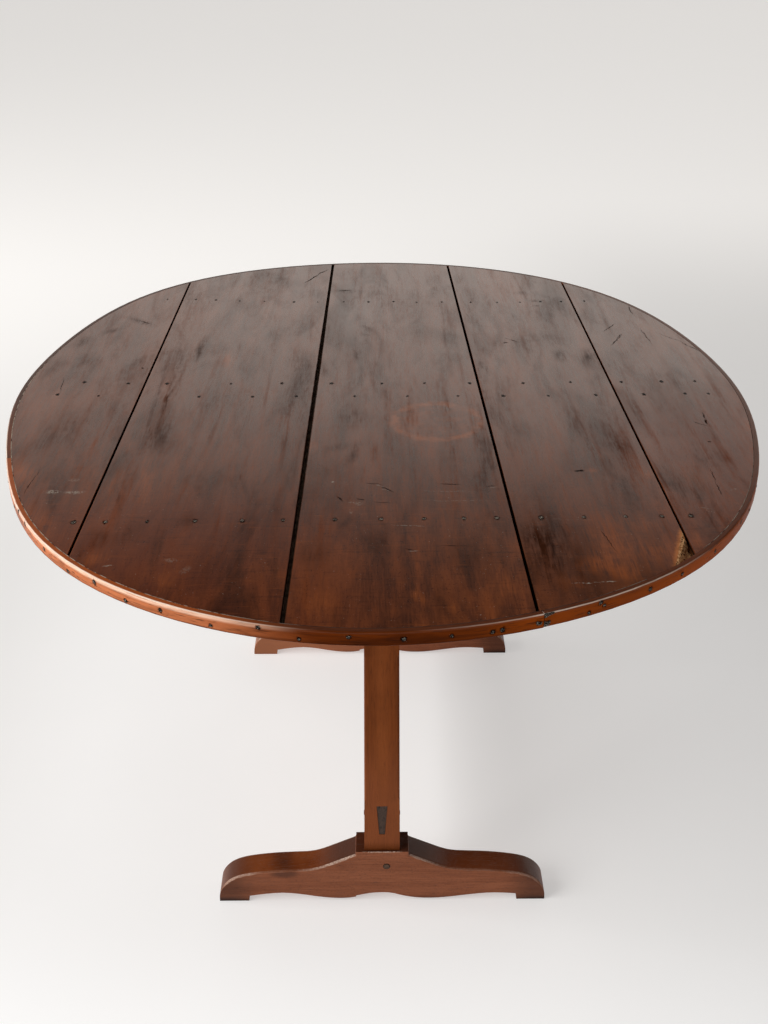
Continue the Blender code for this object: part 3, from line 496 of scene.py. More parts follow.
    # Raw underside
    under = z.fade(TOP - PLANK_THICK + 0.0010, TOP - PLANK_THICK + 0.0002)
    raw = figure.fade(0.25, 0.75) * 0.32 + drag.fade(0.30, 0.70) * 0.30 + streak.fade(0.30, 0.70) * 0.38
    raw = f.mix(f.mix(UNDER_DARK, UNDER_PALE, raw), UMBER, speck.fade(0.58, 0.70) * 0.5)
    colour = f.mix(colour, raw, under)
    wax = wax * (1 - sunk_dirt_and_shade.most(under))
    f.paint(colour, dull.most(sunk_dirt_and_shade * 0.8).most(under * 0.75), height, PLANK_RELIEF,
            Specular_IOR_Level=0.0, Coat_Roughness=0.13)
    f.link(wax, "Coat Weight")
    return material


def ring_stain(f, colour, wax, ragged):
    """The paler ring that a wet vessel left: nearness to a wobbling circle and to a second arc inside it,
    broken by a noise."""
    x, y, _ = f.place()
    wobble = f.noise(f.vector(x * 22, y * 22, 0.0), 3.0, 0.6) * 0.020
    radius = ((x - RING_STAIN[0]) ** 2.0 + (y - RING_STAIN[1]) ** 2.0) ** 0.5 + wobble - 0.010
    line = abs(radius - RING_RADIUS).fade(0.0135, 0.0)
    faded = f.noise(f.vector(x * 34, y * 34, 3.0), 3.0, 0.6)
    broken = faded.fade(0.38, 0.60) * 0.75 + 0.25
    second = abs(radius + x * 0.35 - 0.056).fade(0.0090, 0.0) * x.fade(0.11, 0.05) * 0.4
    inside = radius.fade(RING_RADIUS, RING_RADIUS * 0.75) * ragged.fade(0.38, 0.70) * 0.40
    stain = (line * broken).most(second * broken).most(inside)
    return f.mix(colour, STAIN_ORANGE, stain * 0.70), wax - stain * 0.14


def worn_corner(f, colour, wax, height, sunk_dirt_and_shade, ragged):
    """Worm-eaten raw wood beyond a frayed line across the corner, speckled with bored holes, inside a
    rubbed border."""
    x, y, z = f.place()
    fray = f.noise(f.vector(x * 160, y * 160, z * 160), 4.0, 0.7)
    inward = (x - WORN_START[0]) * WORN_ACROSS[0] + (y - WORN_START[1]) * WORN_ACROSS[1] + (fray - 0.5) * 0.007
    hollow = inward.fade(-0.0006, 0.0008) * z.fade(TOP - 0.0072, TOP - 0.0066)
    border = inward.fade(-0.0068, -0.0006) * y.fade(-0.4280, -0.4450) * (y.fade(-0.53, -0.46) * 0.5 + 0.5)
    colour = f.mix(colour, WORN_BORDER, border * (ragged.fade(0.30, 0.60) * 0.5 + 0.4))
    wax = wax - border * 0.3
    cells = f.node("ShaderNodeTexVoronoi", {}, {"Vector": f.vector(x, y * 0.55, z), "Scale": 300.0})
    crumbs = f.noise(f.vector(x * 380, y * 220, z * 380), 3.0, 0.7)
    bored = cells.fade(0.42, 0.20) * crumbs.fade(0.46, 0.54)
    raw = f.mix(RAW_WOOD, RAW_SHADE, crumbs.fade(0.42, 0.60))
    raw = f.mix(raw, SOOT, bored * 0.92)
    colour = f.mix(colour, raw, hollow)
    return colour, wax * (1 - hollow), height - bored * hollow * 3.0, sunk_dirt_and_shade * (1 - hollow)


def band_wood(length, grime_share):
    """Bent ash band: long streaks round the oval, dark flecks, a rubbed upper edge with a pale line of wear
    and painted highlight, paler at the left front from rubbing and painted light, a broad painted highlight
    on the left front's rounded edge, painted shade across the front middle, varnish left on the edge, and
    more or less grime."""
    material, f = new_finish(f"band_wood_{length}")
    x, y, z = f.place()
    seam = math.radians(BAND_JOINTS[2] + 180.0)
    ahead = x * math.cos(seam) + y * math.sin(seam)
    aside = y * math.cos(seam) - x * math.sin(seam)
    turn = f.node("ShaderNodeMath", {"operation": "ARCTAN2"}, {0: aside, 1: ahead})
    out = (x * x + y * y) ** 0.5
    along = turn * 0.62
    figure = f.noise(f.vector(along * 9, z * 90, out * 60), 4.0, 0.6, 0.4)
    streak = f.noise(f.vector(along * 14, z * 520, out * 300), 3.0, 0.6, 0.2)
    fleck = f.noise(f.vector(along * 30, z * 700, out * 500), 2.0, 0.5)
    cloud = f.noise(f.vector(along * 4, z * 12, 7.0), 2.0, 0.5)
    left = (x * -0.8 + y * -0.6).fade(0.45, 0.57)
    upper = z.fade(TOP - 0.0006, TOP - 0.0001)
    edge = z.fade(TOP - 0.0034, TOP - 0.0020) * (1 - upper)
    # A thin pale line on the rounded edge where lit says: wear and painted highlight
    worn = z.fade(TOP - 0.0013, TOP - 0.0009) * z.fade(TOP - 0.0001, TOP - 0.0003)
    lit = (x.fade(0.02, 0.17) * 0.50 + x.fade(0.165, 0.185) * 0.50) * x.fade(0.44, 0.30) * y.fade(0.0, -0.3)
    lit = left.most(lit) * (streak.fade(0.30, 0.60) * 0.4 + cloud.fade(0.30, 0.50) * 0.6)
    colour = f.mix(BAND_DARK, BAND_RED, figure.fade(0.28, 0.68) * 0.8 + streak * 0.3)
    colour = f.mix(colour, BAND_WARM, (cloud.fade(0.35, 0.65) * 0.35 + 0.55) * x.fade(0.04, 0.22))
    # Paler at the left front: partly rubbed wood, partly painted light on the side that faces the window
    colour = f.mix(colour, BAND_RUBBED_LIT, (edge * 0.10 + left * 0.85) * (figure.fade(0.30, 0.62) * 0.6 + 0.4))
    # Painted shade: the front middle of the band, which faces away from the window, darker
    colour = f.mix(colour, BAND_DARK, abs(x - 0.03).fade(0.17, 0.05) * y.fade(0.0, -0.3) * 0.40)
    colour = f.mix(colour, SOOT, fleck.fade(0.58, 0.70) * (left * 0.2 + 0.55))
    # Painted highlight: a broad pale strip on the rounded upper edge at the left front
    painted_highlight = z.fade(TOP - 0.0072, TOP - 0.0030) * z.fade(TOP + 0.0002, TOP - 0.0006) * (left - (1 - cloud) * 0.2)
    colour = f.mix(colour, BAND_HIGHLIGHT_PAINT, painted_highlight * (streak.fade(0.30, 0.62) * 0.5 + 0.5))
    flat = f.mix(f.mix(UMBER, CHESTNUT, streak * 0.5 + figure * 0.3), BAND_WARM, left * 0.8)
    colour = f.mix(colour, flat, upper * 0.90)
    colour = f.mix(colour, UMBER, grime_share * (figure.fade(0.70, 0.30) * 0.3 + 0.7))
    colour = f.mix(colour, BAND_WORN_HIGHLIGHT, worn * lit)
    grime = z.fade(TOP - BAND_TALL + 0.0030, TOP - BAND_TALL + 0.0003)
    colour = f.mix(colour, BAND_DARK, grime * 0.7)
    roughness = streak * 0.12 + cloud * 0.10 + 0.26
    height = streak * 0.7 + figure * 1.3 - fleck.fade(0.60, 0.70) * 0.8
    f.paint(colour, roughness, height, BAND_RELIEF, Specular_IOR_Level=0.02, Coat_Roughness=0.16)
    near = y.fade(0.15, -0.25) * x.fade(0.48, 0.30)
    varnish = (edge * (left * 0.65 + 0.30) + left * 0.10) * near
    f.link(varnish.most(upper * 0.3), "Coat Weight")
    return material


def trestle_wood(name, axis, tones, gloss, shine, finish_marks=None, grain=(0.70, 0.38)):
    """Sawn wood with its grain along one axis: broad figure, streaks, pores and handling grime."""
    material, f = new_finish(name)
    dark, light = tones
    x, y, z = f.place()
    facing = f.place("Normal")
    stretch = [0.06 if letter == axis else 1.0 for letter in "XYZ"]
    spot = [part * share for part, share in zip((x, y, z), stretch)]
    figure = f.noise(f.vector(*[part * 46 for part in spot]), 4.0, 0.58, 0.6)
    streak = f.noise(f.vector(*[part * 330 for part in spot]), 3.0, 0.6, 0.2)
    pores = f.noise(f.vector(*[part * 900 for part in spot]), 1.5, 0.5)
    cloud = f.noise(f.vector(x * 9, y * 9, z * 9), 3.0, 0.55)
    plain = 0.54 - grain[0] / 2 - grain[1] / 2
    tone = figure.fade(0.28, 0.70) * grain[0] + streak.fade(0.3, 0.7) * grain[1] + plain
    colour = f.mix(dark, light, tone)
    colour = f.mix(colour, dark, cloud.fade(0.46, 0.24) * 0.55)
    colour = f.mix(colour, SOOT, pores.fade(0.60, 0.72) * 0.28)
    roughness = streak * 0.14 + cloud * 0.16 + (gloss - 0.15)
    height = streak * 0.6 + figure * 1.0 - pores.fade(0.60, 0.72) * 0.6
    if finish_marks is not None:
        colour, roughness = finish_marks(f, colour, roughness, (x, y, z), facing, cloud)
    f.paint(colour, roughness, height, TRESTLE_RELIEF, Specular_IOR_Level=shine)
    return material


def foot_marks(f, colour, roughness, spot, facing, cloud):
    """Handled feet: darker glossy upper curves, pale arrises of rubbed wood and painted highlight, grime near the
    floor and at the ends, and painted light on the left arm's upper curve and the rear foot's left side.
    """
    x, y, z = spot
    speck = f.noise(f.vector(x * 500, y * 500, z * 500), 2.0, 0.6)
    upper = facing[2].fade(0.35, 0.80)
    arris = abs(facing[1]).fade(0.16, 0.42) * abs(facing[1]).fade(0.985, 0.88) * facing[2].fade(0.10, 0.30)
    colour = f.mix(colour, UMBER, speck.fade(0.56, 0.70) * 0.45)
    colour = f.mix(colour, FOOT_DARK, upper * 0.85)
    colour = f.mix(colour, UMBER, upper * abs(x).fade(0.115, 0.060) * 0.75)
    # Painted light: an orange glow on the left arm's upper curve, which faces the window
    glow = upper * x.fade(-0.08, -0.14) * x.fade(-0.245, -0.19) * cloud.fade(0.35, 0.55)
    colour = f.mix(colour, FOOT_LIT_PAINT, glow * 0.45)
    ends = abs(x).fade(0.190, 0.245)
    smudge = (((x + 0.156) * 42) ** 2.0 + ((z - 0.058) * 120) ** 2.0).fade(1.5, 0.1) * y.fade(0.0, -0.3)
    grime = z.fade(0.012, 0.0) * 0.5 + ends * 0.55 + cloud.fade(0.40, 0.28) * 0.5 + smudge * 0.6
    colour = f.mix(colour, UMBER, grime * (1 - arris * 0.7))
    # Painted light: the rear foot's left side paler where the window reaches it
    lit_rear = y.fade(0.0, 0.3) * x.fade(0.10, -0.20) * (1 - upper)
    colour = f.mix(colour, FOOT_LIT_REAR, lit_rear * 0.7)
    # Pale arrises and block lip: rubbed wood and painted highlight, strongest where the light catches them
    rubbed = x.fade(-0.160, -0.080) * x.fade(-0.036, -0.050) * 0.9
    rubbed = rubbed.most(x.fade(-0.175, -0.225) * x.fade(-0.262, -0.245) * 0.7)
    rubbed = rubbed.most(x.fade(0.040, 0.046) * x.fade(0.110, 0.060) * 0.6)
    rubbed = rubbed.most(x.fade(0.17, 0.22) * x.fade(0.262, 0.240) * 0.4)
    rubbed = rubbed.most(0.16) * (speck.fade(0.38, 0.60) * 0.6 + 0.4) * (cloud.fade(0.34, 0.50) * 0.4 + 0.6)
    colour = f.mix(colour, ARRIS_WEAR_HIGHLIGHT, arris * rubbed)
    lip = z.fade(BLOCK_TOP - 0.0018, BLOCK_TOP - 0.0008) * (abs(y) - FOOT_FACE).fade(-0.0016, -0.0006)
    colour = f.mix(colour, ARRIS_WEAR_HIGHLIGHT, lip * abs(x).fade(0.034, 0.020) * speck.fade(0.40, 0.58) * 0.9)
    return colour, roughness - upper * 0.12 - arris * 0.18


def post_marks(f, colour, roughness, spot, facing, cloud):
    """Posts: darker stopped chamfers, a paler lower part over a dark foot, and a warm rubbed middle."""
    x, _, z = spot
    chamfer = abs(facing[0]).fade(0.25, 0.55) * abs(facing[0]).fade(0.98, 0.85)
    colour = f.mix(colour, POST_DARK, chamfer * 0.45 + z.fade(0.125, 0.104) * 0.6)
    colour = f.mix(colour, POST_LOW, z.fade(0.36, 0.20) * z.fade(0.104, 0.125) * 0.40)
    warm = abs(x).fade(0.020, 0.0) * z.fade(0.16, 0.30) * z.fade(0.62, 0.50)
    return f.mix(colour, POST_WARM, warm * cloud.fade(0.30, 0.60) * 0.45), roughness


def stretcher_marks(f, colour, roughness, spot, facing, cloud):
    """The stretcher's through tenons end in dark grey-brown end grain with a worn dent."""
    x, y, z = spot
    end = abs(y).fade(TENON_FACE - 0.004, TENON_FACE)
    pores = f.noise(f.vector(x * 900, y * 30, z * 900), 2.0)
    grain = f.mix(END_GRAIN[1], END_GRAIN[0], pores.fade(0.35, 0.60))
    dent = f.noise(f.vector(x * 160, y, z * 120), 2.0).fade(0.58, 0.70)
    grain = f.mix(grain, SOOT, dent * 0.8)
    return f.mix(colour, grain, end), roughness + end * 0.15


def peg_marks(f, colour, roughness, spot, facing, cloud):
    """Pegs: end grain speckled with open pores."""
    x, y, z = spot
    pores = f.noise(f.vector(x * 1400, y * 1400, z * 1400), 1.0)
    return f.mix(colour, SOOT, pores.fade(0.52, 0.64) * 0.7), roughness


def foot_peg_marks(f, colour, roughness, spot, facing, cloud):
    """Foot pegs: worn brown end grain inside a dark ring."""
    x, y, z = spot
    reach = ((x - FOOT_PEG[0]) ** 2.0 + (z - FOOT_PEG[1]) ** 2.0) ** 0.5
    pores = f.noise(f.vector(x * 1200, y * 1200, z * 1200), 1.0)
    colour = f.mix(colour, SOOT, pores.fade(0.50, 0.64) * 0.6)
    return f.mix(colour, SOOT, reach.fade(0.0040, 0.0054) * 0.85), roughness


def nail_iron(name, tones, metal=0.0):
    """Forged iron: near-black scale broken by lighter flecks, partly rubbed metal and partly painted glints, and by
    rust.
    """
    material, f = new_finish(name)
    x, y, z = f.place()
    scale = f.noise(f.vector(x * 800, y * 800, z * 800), 3.0, 0.6)
    rust = f.noise(f.vector(x * 260, y * 260, z * 260 + 9.0), 2.0)
    colour = f.mix(*tones, scale.fade(0.50, 0.62))
    colour = f.mix(colour, RUST, rust.fade(0.58, 0.72) * 0.5)
    f.paint(colour, scale * 0.3 + 0.35, scale, IRON_RELIEF, Metallic=metal, Specular_IOR_Level=0.08)
    return material


def stain_film(name, strength):
    """A soft dark film round a nail: opaque at the head, gone at the rim."""
    material, f = new_finish(name)
    x, y, z = f.place()
    rim = f.node("ShaderNodeAttribute", {"attribute_name": "rim"}, {}, "Fac")
    torn = f.noise(f.vector(x * 420, y * 420, z * 420), 2.0)
    colour = f.mix(NAIL_STAIN, SOOT, torn)
    f.paint(colour, torn * 0.2 + 0.5, Specular_IOR_Level=0.0)
    cover = (rim + (torn - 0.5) * 0.9).fade(1.0, 0.25) * strength
    f.link(cover, "Alpha")
    return material


def groove_wax():
    """Old wax and dust in the line between the planks and the band, paler at the left front."""
    material, f = new_finish("groove_wax")
    x, y, z = f.place()
    broken = f.noise(f.vector(x * 70, y * 70, z * 70), 4.0, 0.7)
    left = (x * -0.9 + y * -0.45).fade(0.34, 0.50)
    right = x.fade(0.22, 0.34) * y.fade(-0.10, -0.40)
    pale = (left * 0.85 + right * 0.40 + 0.05) * broken.fade(0.40, 0.56)
    colour = f.mix(UMBER, WAX_PALE, pale)
    f.paint(colour, broken * 0.2 + 0.55, Specular_IOR_Level=0.1)
    return material


# Shapes
def oval(turn, inset):
    """The top's outline at the given turns: a superellipse radius times slow swells, centred on its
    box, then moved square to the edge by the inset."""

    def edge(a):
        c, s = np.cos(a), np.sin(a)
        r = (np.abs(c / HALF_X) ** OVAL_POWER + np.abs(s / HALF_Y) ** OVAL_POWER) ** (-1 / OVAL_POWER)
        swell = 1 + sum(p * np.cos(k * a) + q * np.sin(k * a) for k, p, q in OVAL_SWELLS)
        return np.stack([r * swell * c, r * swell * s], -1)

    whole = edge(np.linspace(0, 2 * math.pi, 3600))
    centre = (whole.min(axis=0) + whole.max(axis=0)) / 2
    along = edge(turn + 1e-4) - edge(turn - 1e-4)
    along /= np.linalg.norm(along, axis=-1, keepdims=True)
    out = np.stack([along[..., 1], -along[..., 0]], -1)
    return edge(turn) - centre - inset * out, out


def piece(name, points, faces, material, body, smooth=True):
    """A finished mesh from points and faces, riding on a body."""
    mesh = bpy.data.meshes.new(name)
    mesh.from_pydata(points.reshape(-1, 3).tolist(), [], faces)
    mesh.polygons.foreach_set("use_smooth", np.full(len(mesh.polygons), smooth))
    mesh.materials.append(material)
    obj = bpy.data.objects.new(name, mesh)
    bpy.context.scene.collection.objects.link(obj)
    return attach(obj, body)


def tube_faces(rings, sides):
    """Four-sided faces between neighbouring rings of points."""
    i, j = np.meshgrid(np.arange(rings - 1) * sides, np.arange(sides), indexing="ij")
    k = (j + 1) % sides
    return np.stack([i + j, i + k, i + sides + k, i + sides + j], -1).reshape(-1, 4)


def caps(name, centres, outs, radii, rises, sides, material, uneven, seed, stretch=1.0):
    """Small closed domes on the top: at each centre, rings of the profile (share of the radius,
    share of the rise) turned round the outward direction and stretched along the grain, closed by a
    point above and one below."""
    draw = np.random.default_rng(seed)
    count = len(centres)
    side = np.cross(outs, np.where(np.abs(outs[:, 2:]) > 0.8, (1.0, 0.0, 0.0), (0.0, 0.0, 1.0)))
    side /= np.linalg.norm(side, axis=1, keepdims=True)
    other = np.cross(outs, side)
    turns = np.arange(sides) * 2 * math.pi / sides + draw.uniform(0, 2 * math.pi, (count, 1))
    shape = 1 + uneven * draw.uniform(-1, 1, (count, sides))
    profile = np.array(((0.90, -1.6), (1.0, 0.0), (0.86, 0.62), (0.45, 0.95)))
    reach = radii[:, None, None] * profile[None, :, None, 0] * shape[:, None, :]
    lift = rises[:, None, None] * profile[None, :, None, 1] * np.ones((1, 1, sides))
    ring = np.cos(turns)[:, None, :, None] * side[:, None, None] * stretch
    ring = ring + np.sin(turns)[:, None, :, None] * other[:, None, None]
    rings = centres[:, None, None] + reach[..., None] * ring
    rings = rings + lift[..., None] * outs[:, None, None]
    low = centres + profile[0, 1] * rises[:, None] * outs
    high = centres + rises[:, None] * outs
    points = np.concatenate([rings.reshape(count, -1, 3), low[:, None], high[:, None]], axis=1)

    levels = len(profile)
    walls = tube_faces(levels, sides)
    before = np.arange(sides)
    after = (before + 1) % sides
    last = (levels - 1) * sides
    floor = np.stack([after, before, np.full(sides, levels * sides)], -1)
    crown = np.stack([last + before, last + after, np.full(sides, levels * sides + 1)], -1)
    step = np.arange(count)[:, None, None] * (levels * sides + 2)
    faces = (walls + step).reshape(-1, 4).tolist()
    faces += (floor + step).reshape(-1, 3).tolist() + (crown + step).reshape(-1, 3).tolist()
    obj = piece(name, points, faces, material, "top", False)
    rim = np.where(profile[:, 1] < 0, 1.0, profile[:, 0])
    rim = np.tile(np.append(np.repeat(rim, sides), (1.0, 0.0)), count)
    attribute = obj.data.attributes.new("rim", "FLOAT", "POINT")
    attribute.data.foreach_set("value", rim.astype(np.float32))


def nailed_row(name, places, head, stain, seed, sizes):
    """One row of nails in the planks, each head in its own dark stain that runs along the grain."""
    draw = np.random.default_rng(seed)
    count = len(places)
    centres = np.column_stack([np.array(places), np.full(count, TOP)])
    outs = np.tile((0.0, 0.0, 1.0), (count, 1))
    radii = draw.uniform(*sizes, count)
    low, high = np.full(count, STAIN_RISE), np.full(count, PLANK_NAIL_RISE)
    caps(f"{name}_nail_stains", centres, outs, radii * 1.7, low, STAIN_SIDES, stain,
         uneven=0.20, seed=seed + 1, stretch=1.5)
    caps(f"{name}_nails", centres, outs, radii, high, NAIL_SIDES, head, uneven=0.16, seed=seed + 2, stretch=1.1)


def band_nails(head, stain):
    """Nails round the band: those in sight at their places, the rest at the same spacing out of sight."""
    draw = np.random.default_rng(51)
    seen = np.array(BAND_NAILS)
    hidden = np.arange(seen[-1, 0] + HIDDEN_START, 360 + seen[0, 0] - HIDDEN_END, HIDDEN_STEP)
    hidden = hidden[np.abs(hidden - BAND_JOINTS[1]) > JOINT_CLEAR]
    hidden = hidden + draw.uniform(-HIDDEN_STRAY, HIDDEN_STRAY, len(hidden))
    hidden = np.stack([hidden, draw.uniform(*HIDDEN_HEIGHTS, len(hidden))], -1)
    places = np.concatenate([seen, hidden])
    flat, out = oval(np.radians(places[:, 0]), 0.0)
    centres = np.column_stack([flat, places[:, 1]])
    outs = np.column_stack([out, np.zeros(len(out))])
    radii = draw.uniform(*BAND_NAIL_SIZES, len(places))
    low, high = np.full(len(places), STAIN_RISE), np.full(len(places), BAND_NAIL_RISE)
    caps("band_nail_stains", centres, outs, radii * 1.9, low, STAIN_SIDES, stain, uneven=0.15, seed=52)
    caps("band_nails", centres, outs, radii, high, NAIL_SIDES, head, uneven=0.12, seed=53)


def clenched_nails(material):
    """Nails bent over at the front joint of the band: for each, rings carried along a line that leaves the
    wood, lies along the band and goes back in, thinner towards its point, with closed ends."""
    rings, sides = 12, NAIL_SIDES
    share = np.linspace(0.0, 1.0, rings)
    around = np.arange(sides) * 2 * math.pi / sides
    walls = tube_faces(rings, sides)[:, [0, 3, 2, 1]]
    ends = np.stack([np.arange(sides), rings * sides - 1 - np.arange(sides)])
    points, faces = [], []
    for turn, height, long, climb, lean, thick in CLENCHED_NAILS:
        flat, out = oval(np.radians(np.array([turn])), 0.0)
        ahead = np.array((-out[0, 1], out[0, 0], 0.0))
        rise = np.array((*(out[0] * math.cos(lean)), math.sin(lean)))
        aside = np.cross(ahead, rise)
        bow = thick * (1.5 * np.sin(math.pi * share) ** 0.6 - 0.9)
        middle = np.array((*flat[0], height)) + np.outer((share - 0.5) * long, ahead) + np.outer(bow, rise)
        middle = middle + np.outer((share - 0.5) * climb, (0.0, 0.0, 1.0))
        radius = thick * (1.15 - 0.55 * share + 0.35 * np.exp(-((share - 0.12) / 0.10) ** 2))
        ring = np.cos(around)[None, :, None] * rise + np.sin(around)[None, :, None] * aside
        step = len(points) * rings * sides
        points.append((middle[:, None] + radius[:, None, None] * ring).reshape(-1, 3))
        faces += (walls + step).tolist() + (ends + step).tolist()
    piece("clenched_nails", np.concatenate(points), faces, material, "top")


def wax_line(material):
    """A low lens of wax carried along the oval over the joint of planks and band, its ends closed at
    the worn corner."""
    turn = np.radians(np.linspace(*WAX_TURNS, WAX_STEPS))
    across = np.array((-1.0, -0.5, 0.0, 0.5, 1.0, 0.0))
    rise = np.array((0.0, 0.00009, 0.00012, 0.00009, 0.0, -0.0003))
    middle, out = oval(turn, WAX_INSET)
    sides = len(across)
    flat = middle[:, None] + across[None, :, None] * WAX_HALF * out[:, None]
    points = np.concatenate([flat, np.broadcast_to(TOP + rise, (len(turn), sides))[..., None]], -1)
    walls = tube_faces(len(turn), sides)[:, [1, 2, 3, 0]]
    last = (len(turn) - 1) * sides
    ends = [list(range(sides - 1, -1, -1)), list(range(last, last + sides))]
    piece("wax_line", points, walls.tolist() + ends, material, "top")


def eased_edges():
    """A geometry tree that joins a solid's triangles and shades its curves smooth up to an angle."""
    tree = bpy.data.node_groups.new("eased_edges", "GeometryNodeTree")
    for way in ("INPUT", "OUTPUT"):
        tree.interface.new_socket("Geometry", in_out=way, socket_type="NodeSocketGeometry")
    g = Finish(tree)
    solid = g.node("NodeGroupInput", {}, {})
    joined = g.node("GeometryNodeMergeByDistance", {}, {"Geometry": solid, "Distance": MERGE_REACH})
    plain = g.node("GeometryNodeRemoveAttribute", {}, {"Geometry": joined, "Name": "custom_normal"})
    smooth = g.node("GeometryNodeSetShadeSmooth", {"domain": "FACE"}, {0: plain})
    bend = g.node("GeometryNodeInputMeshEdgeAngle", {}, {})
    sharp = g.node("FunctionNodeCompare", {"operation": "GREATER_THAN"}, {0: bend, 1: SHARP_BEND})
    crisp = g.node("GeometryNodeSetShadeSmooth", {"domain": "EDGE"}, {0: smooth, 1: sharp, 2: False})
    tree.links.new(crisp.socket, tree.nodes.new("NodeGroupOutput").inputs[0])
    return tree


def dress(node, material, tree):
    """Gives a solid its finish and eased shading."""
    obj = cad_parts[node]
    obj.material_slots[0].link = "OBJECT"
    obj.material_slots[0].material = material
    obj.modifiers.new("eased_edges", "NODES").node_group = tree
    flat = obj.modifiers.new("flat_faces", "WEIGHTED_NORMAL")
    flat.mode = "FACE_AREA"
    flat.weight = 60
    flat.keep_sharp = True


# Dressing the solids
edges = eased_edges()
for number in range(1, 6):
    dress(f"plank_{number}", plank_wood(number), edges)
for length, grime_share in (("front", 0.0), ("right", 0.12), ("back", 0.80)):
    dress(f"edge_band_{length}", band_wood(length, grime_share), edges)
recipes = {
    "batten": ("X", (UNDER_DARK, UNDER_PALE), 0.62, 0.3),
    "cheek": ("X", (UNDER_DARK, CHEEK_PALE), 0.55, 0.3),
    "rail": ("Y", (POST_DARK, POST_AMBER), 0.50, 0.2),
    "stretcher": ("Y", (POST_DARK, POST_AMBER), 0.48, 0.2, stretcher_marks),
    "post": ("Z", (POST_DARK, POST_AMBER), 0.46, 0.03, post_marks, (0.50, 0.28)),
    "foot": ("X", (FOOT_DARK, FOOT_RED), 0.42, 0.16, foot_marks, (0.40, 0.22)),
    "peg": ("Y", PEG_TONES, 0.50, 0.3, peg_marks),
    "foot_peg": ("Y", FOOT_PEG_TONES, 0.50, 0.2, foot_peg_marks),
    "pin": ("Y", PIN_TONES, 0.42, 0.4, peg_marks),
}
woods = {name: trestle_wood(f"{name}_wood", *recipe) for name, recipe in recipes.items()}
for side in ("front", "middle", "rear"):
    dress(f"{side}_batten", woods["batten"], edges)
pairs = {"pivot_cheek": "cheek", "foot": "foot", "post": "post", "pivot_pin": "pin", "foot_peg": "foot_peg",
         "rail_peg": "peg", "stretcher_peg": "peg"}
for side in ("front", "rear"):
    for part, wood in pairs.items():
        dress(f"{side}_{part}", woods[wood], edges)
for node, wood in (("lower_stretcher", "stretcher"), ("upper_rail", "rail"), ("lock_peg", "pin")):
    dress(node, woods[wood], edges)

# Nails and wax
dark_iron = nail_iron("nail_iron", DARK_IRON)
worn_glinting_iron = nail_iron("worn_glinting_nail_iron", WORN_IRON_GLINT)
rubbed_glinting_iron = nail_iron("rubbed_glinting_nail_iron", RUBBED_IRON_GLINT, 0.2)
plank_stain = stain_film("nail_stain", 0.92)
thin_stain = stain_film("thin_nail_stain", 0.85)
nailed_row("rear_row", REAR_ROW, dark_iron, plank_stain, 11, (0.0013, 0.0023))
nailed_row("middle_far_row", MIDDLE_ROW_FAR, dark_iron, plank_stain, 21, (0.0017, 0.0025))
nailed_row("middle_near_row", MIDDLE_ROW_NEAR, dark_iron, plank_stain, 31, (0.0017, 0.0025))
nailed_row("front_row", FRONT_ROW, rubbed_glinting_iron, thin_stain, 41, (0.0020, 0.0031))
band_nails(worn_glinting_iron, plank_stain)
clenched_nails(worn_glinting_iron)
wax_line(groove_wax())

# Floor: a wide pale disc that glows a little, with a painted shadow of the table at the far right
floor_material, pale = new_finish("pale_floor")
fx, fy, _ = pale.place()
mottle = pale.noise(pale.vector(fx * 2.2, fy * 2.2, 0.0), 4.0, 0.6)
near_floor = pale.mix(*FLOOR_TONES, mottle)
near_floor = pale.mix(near_floor, FLOOR_FRONT, fy.fade(-0.35, -0.80) * 0.8)
near_floor = pale.mix(near_floor, FLOOR_LEFT, fx.fade(-0.50, -0.95) * fy.fade(-0.55, -0.20))
# Painted shadow: the floor darker at the far right
far_floor = pale.mix(FLOOR_FAR, FLOOR_SHADOW_FAR_RIGHT, fx.fade(-0.2, 1.0) * fy.fade(4.0, 1.5))
pale.paint(pale.mix(near_floor, far_floor, fy.fade(0.4, 3.0)), mottle * 0.1 + 0.8,
           Emission_Strength=0.44, Specular_IOR_Level=0.1)
glow = pale.mix(GLOW_NEAR, GLOW_FAR, fy.fade(0.5, 3.5))
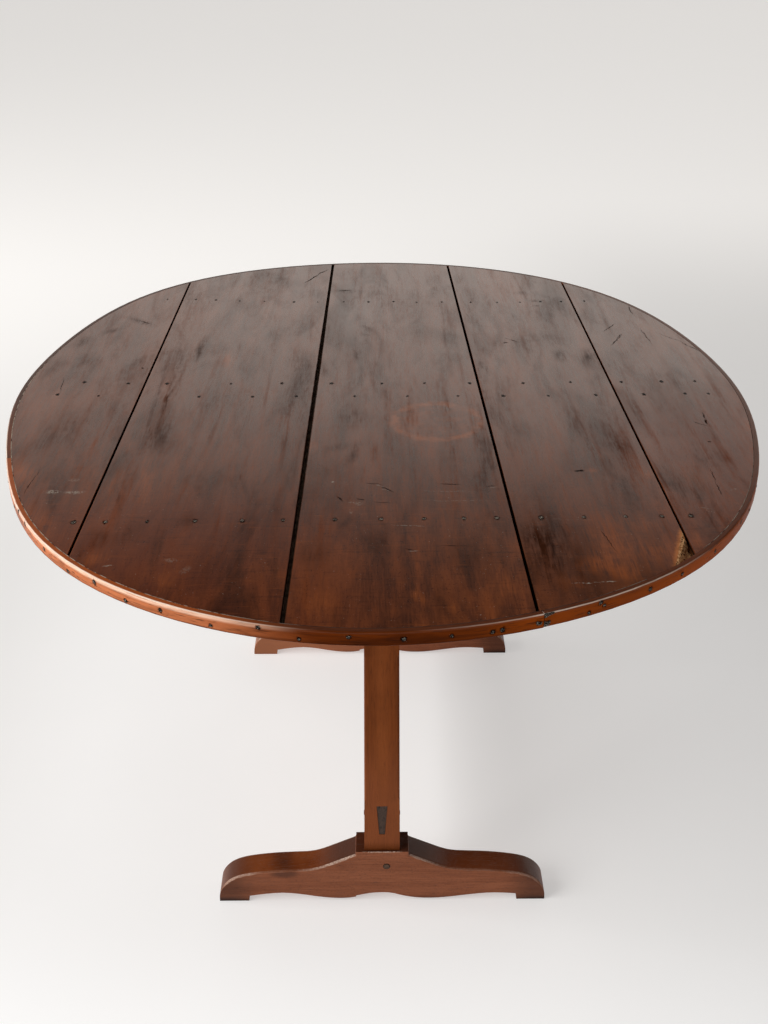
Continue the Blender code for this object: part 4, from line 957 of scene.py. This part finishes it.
# Painted shadow: the floor's glow dimmer at the right behind the table
glow = pale.mix(glow, GLOW_SHADOW_RIGHT, fx.fade(0.2, 1.1) * fy.fade(0.2, 0.9) * fy.fade(4.0, 1.5))
pale.link(glow, "Emission Color")
around = np.arange(FLOOR_SIDES) * 2 * math.pi / FLOOR_SIDES
rim = FLOOR_RADIUS * np.stack([np.cos(around), np.sin(around)], -1)
disc = np.column_stack([rim, np.full(FLOOR_SIDES, FLOOR_LEVEL)])
floor_mesh = bpy.data.meshes.new("pale_floor")
floor_mesh.from_pydata(disc.tolist(), [], [list(range(FLOOR_SIDES))])
floor_mesh.materials.append(floor_material)
floor = bpy.data.objects.new("pale_floor", floor_mesh)
bpy.context.scene.collection.objects.link(floor)

# Light: a bright low horizon under a dim ceiling, and a wide soft window at the left front
world = bpy.data.worlds.new("studio")
world.use_nodes = True
bpy.context.scene.world = world
sky = Finish(world.node_tree)
sx, sy, sz = sky.place("Generated")
ceiling = sz.fade(0.37, 0.545)
horizon = sky.mix(SKY_FRONT, SKY_BACK, sy.fade(-0.8, 0.6))
horizon = sky.mix(horizon, SKY_LEFT, sx.fade(-0.05, -0.26) * 0.20)
light = sky.mix(horizon, SKY_CEILING, ceiling)
beside = (sx * -0.80 + sy * -0.24 + sz * 0.54).fade(0.72, 1.0)
light = sky.mix(light, SKY_BESIDE, beside)
sky.tree.links.new(light.socket, world.node_tree.nodes["Background"].inputs["Color"])

window_light = bpy.data.lights.new("window", "AREA")
window_light.shape = "RECTANGLE"
window_light.size, window_light.size_y = WINDOW_SIZE
window_light.energy = WINDOW_WATTS
window_light.color = WINDOW_COLOUR
window = bpy.data.objects.new("window", window_light)
window.location = WINDOW_PLACE
window.rotation_euler = (Vector(WINDOW_AIM) - Vector(WINDOW_PLACE)).to_track_quat("-Z", "Y").to_euler()
window.visible_camera = False
window.visible_glossy = False
bpy.context.scene.collection.objects.link(window)

# Camera
camera_data = bpy.data.cameras.new("camera")
camera_data.lens = FOCAL_PIXELS * camera_data.sensor_width / PICTURE_TALL
camera = bpy.data.objects.new("camera", camera_data)
camera.location = CAMERA_PLACE
aim = Matrix.Rotation(-CAMERA_YAW, 3, "Z") @ Matrix.Rotation(math.pi / 2 - CAMERA_TILT, 3, "X")
camera.rotation_euler = (aim @ Matrix.Rotation(-CAMERA_ROLL, 3, "Z")).to_euler()
bpy.context.scene.collection.objects.link(camera)
bpy.context.scene.camera = camera
bpy.context.scene.view_settings.view_transform = "Standard"
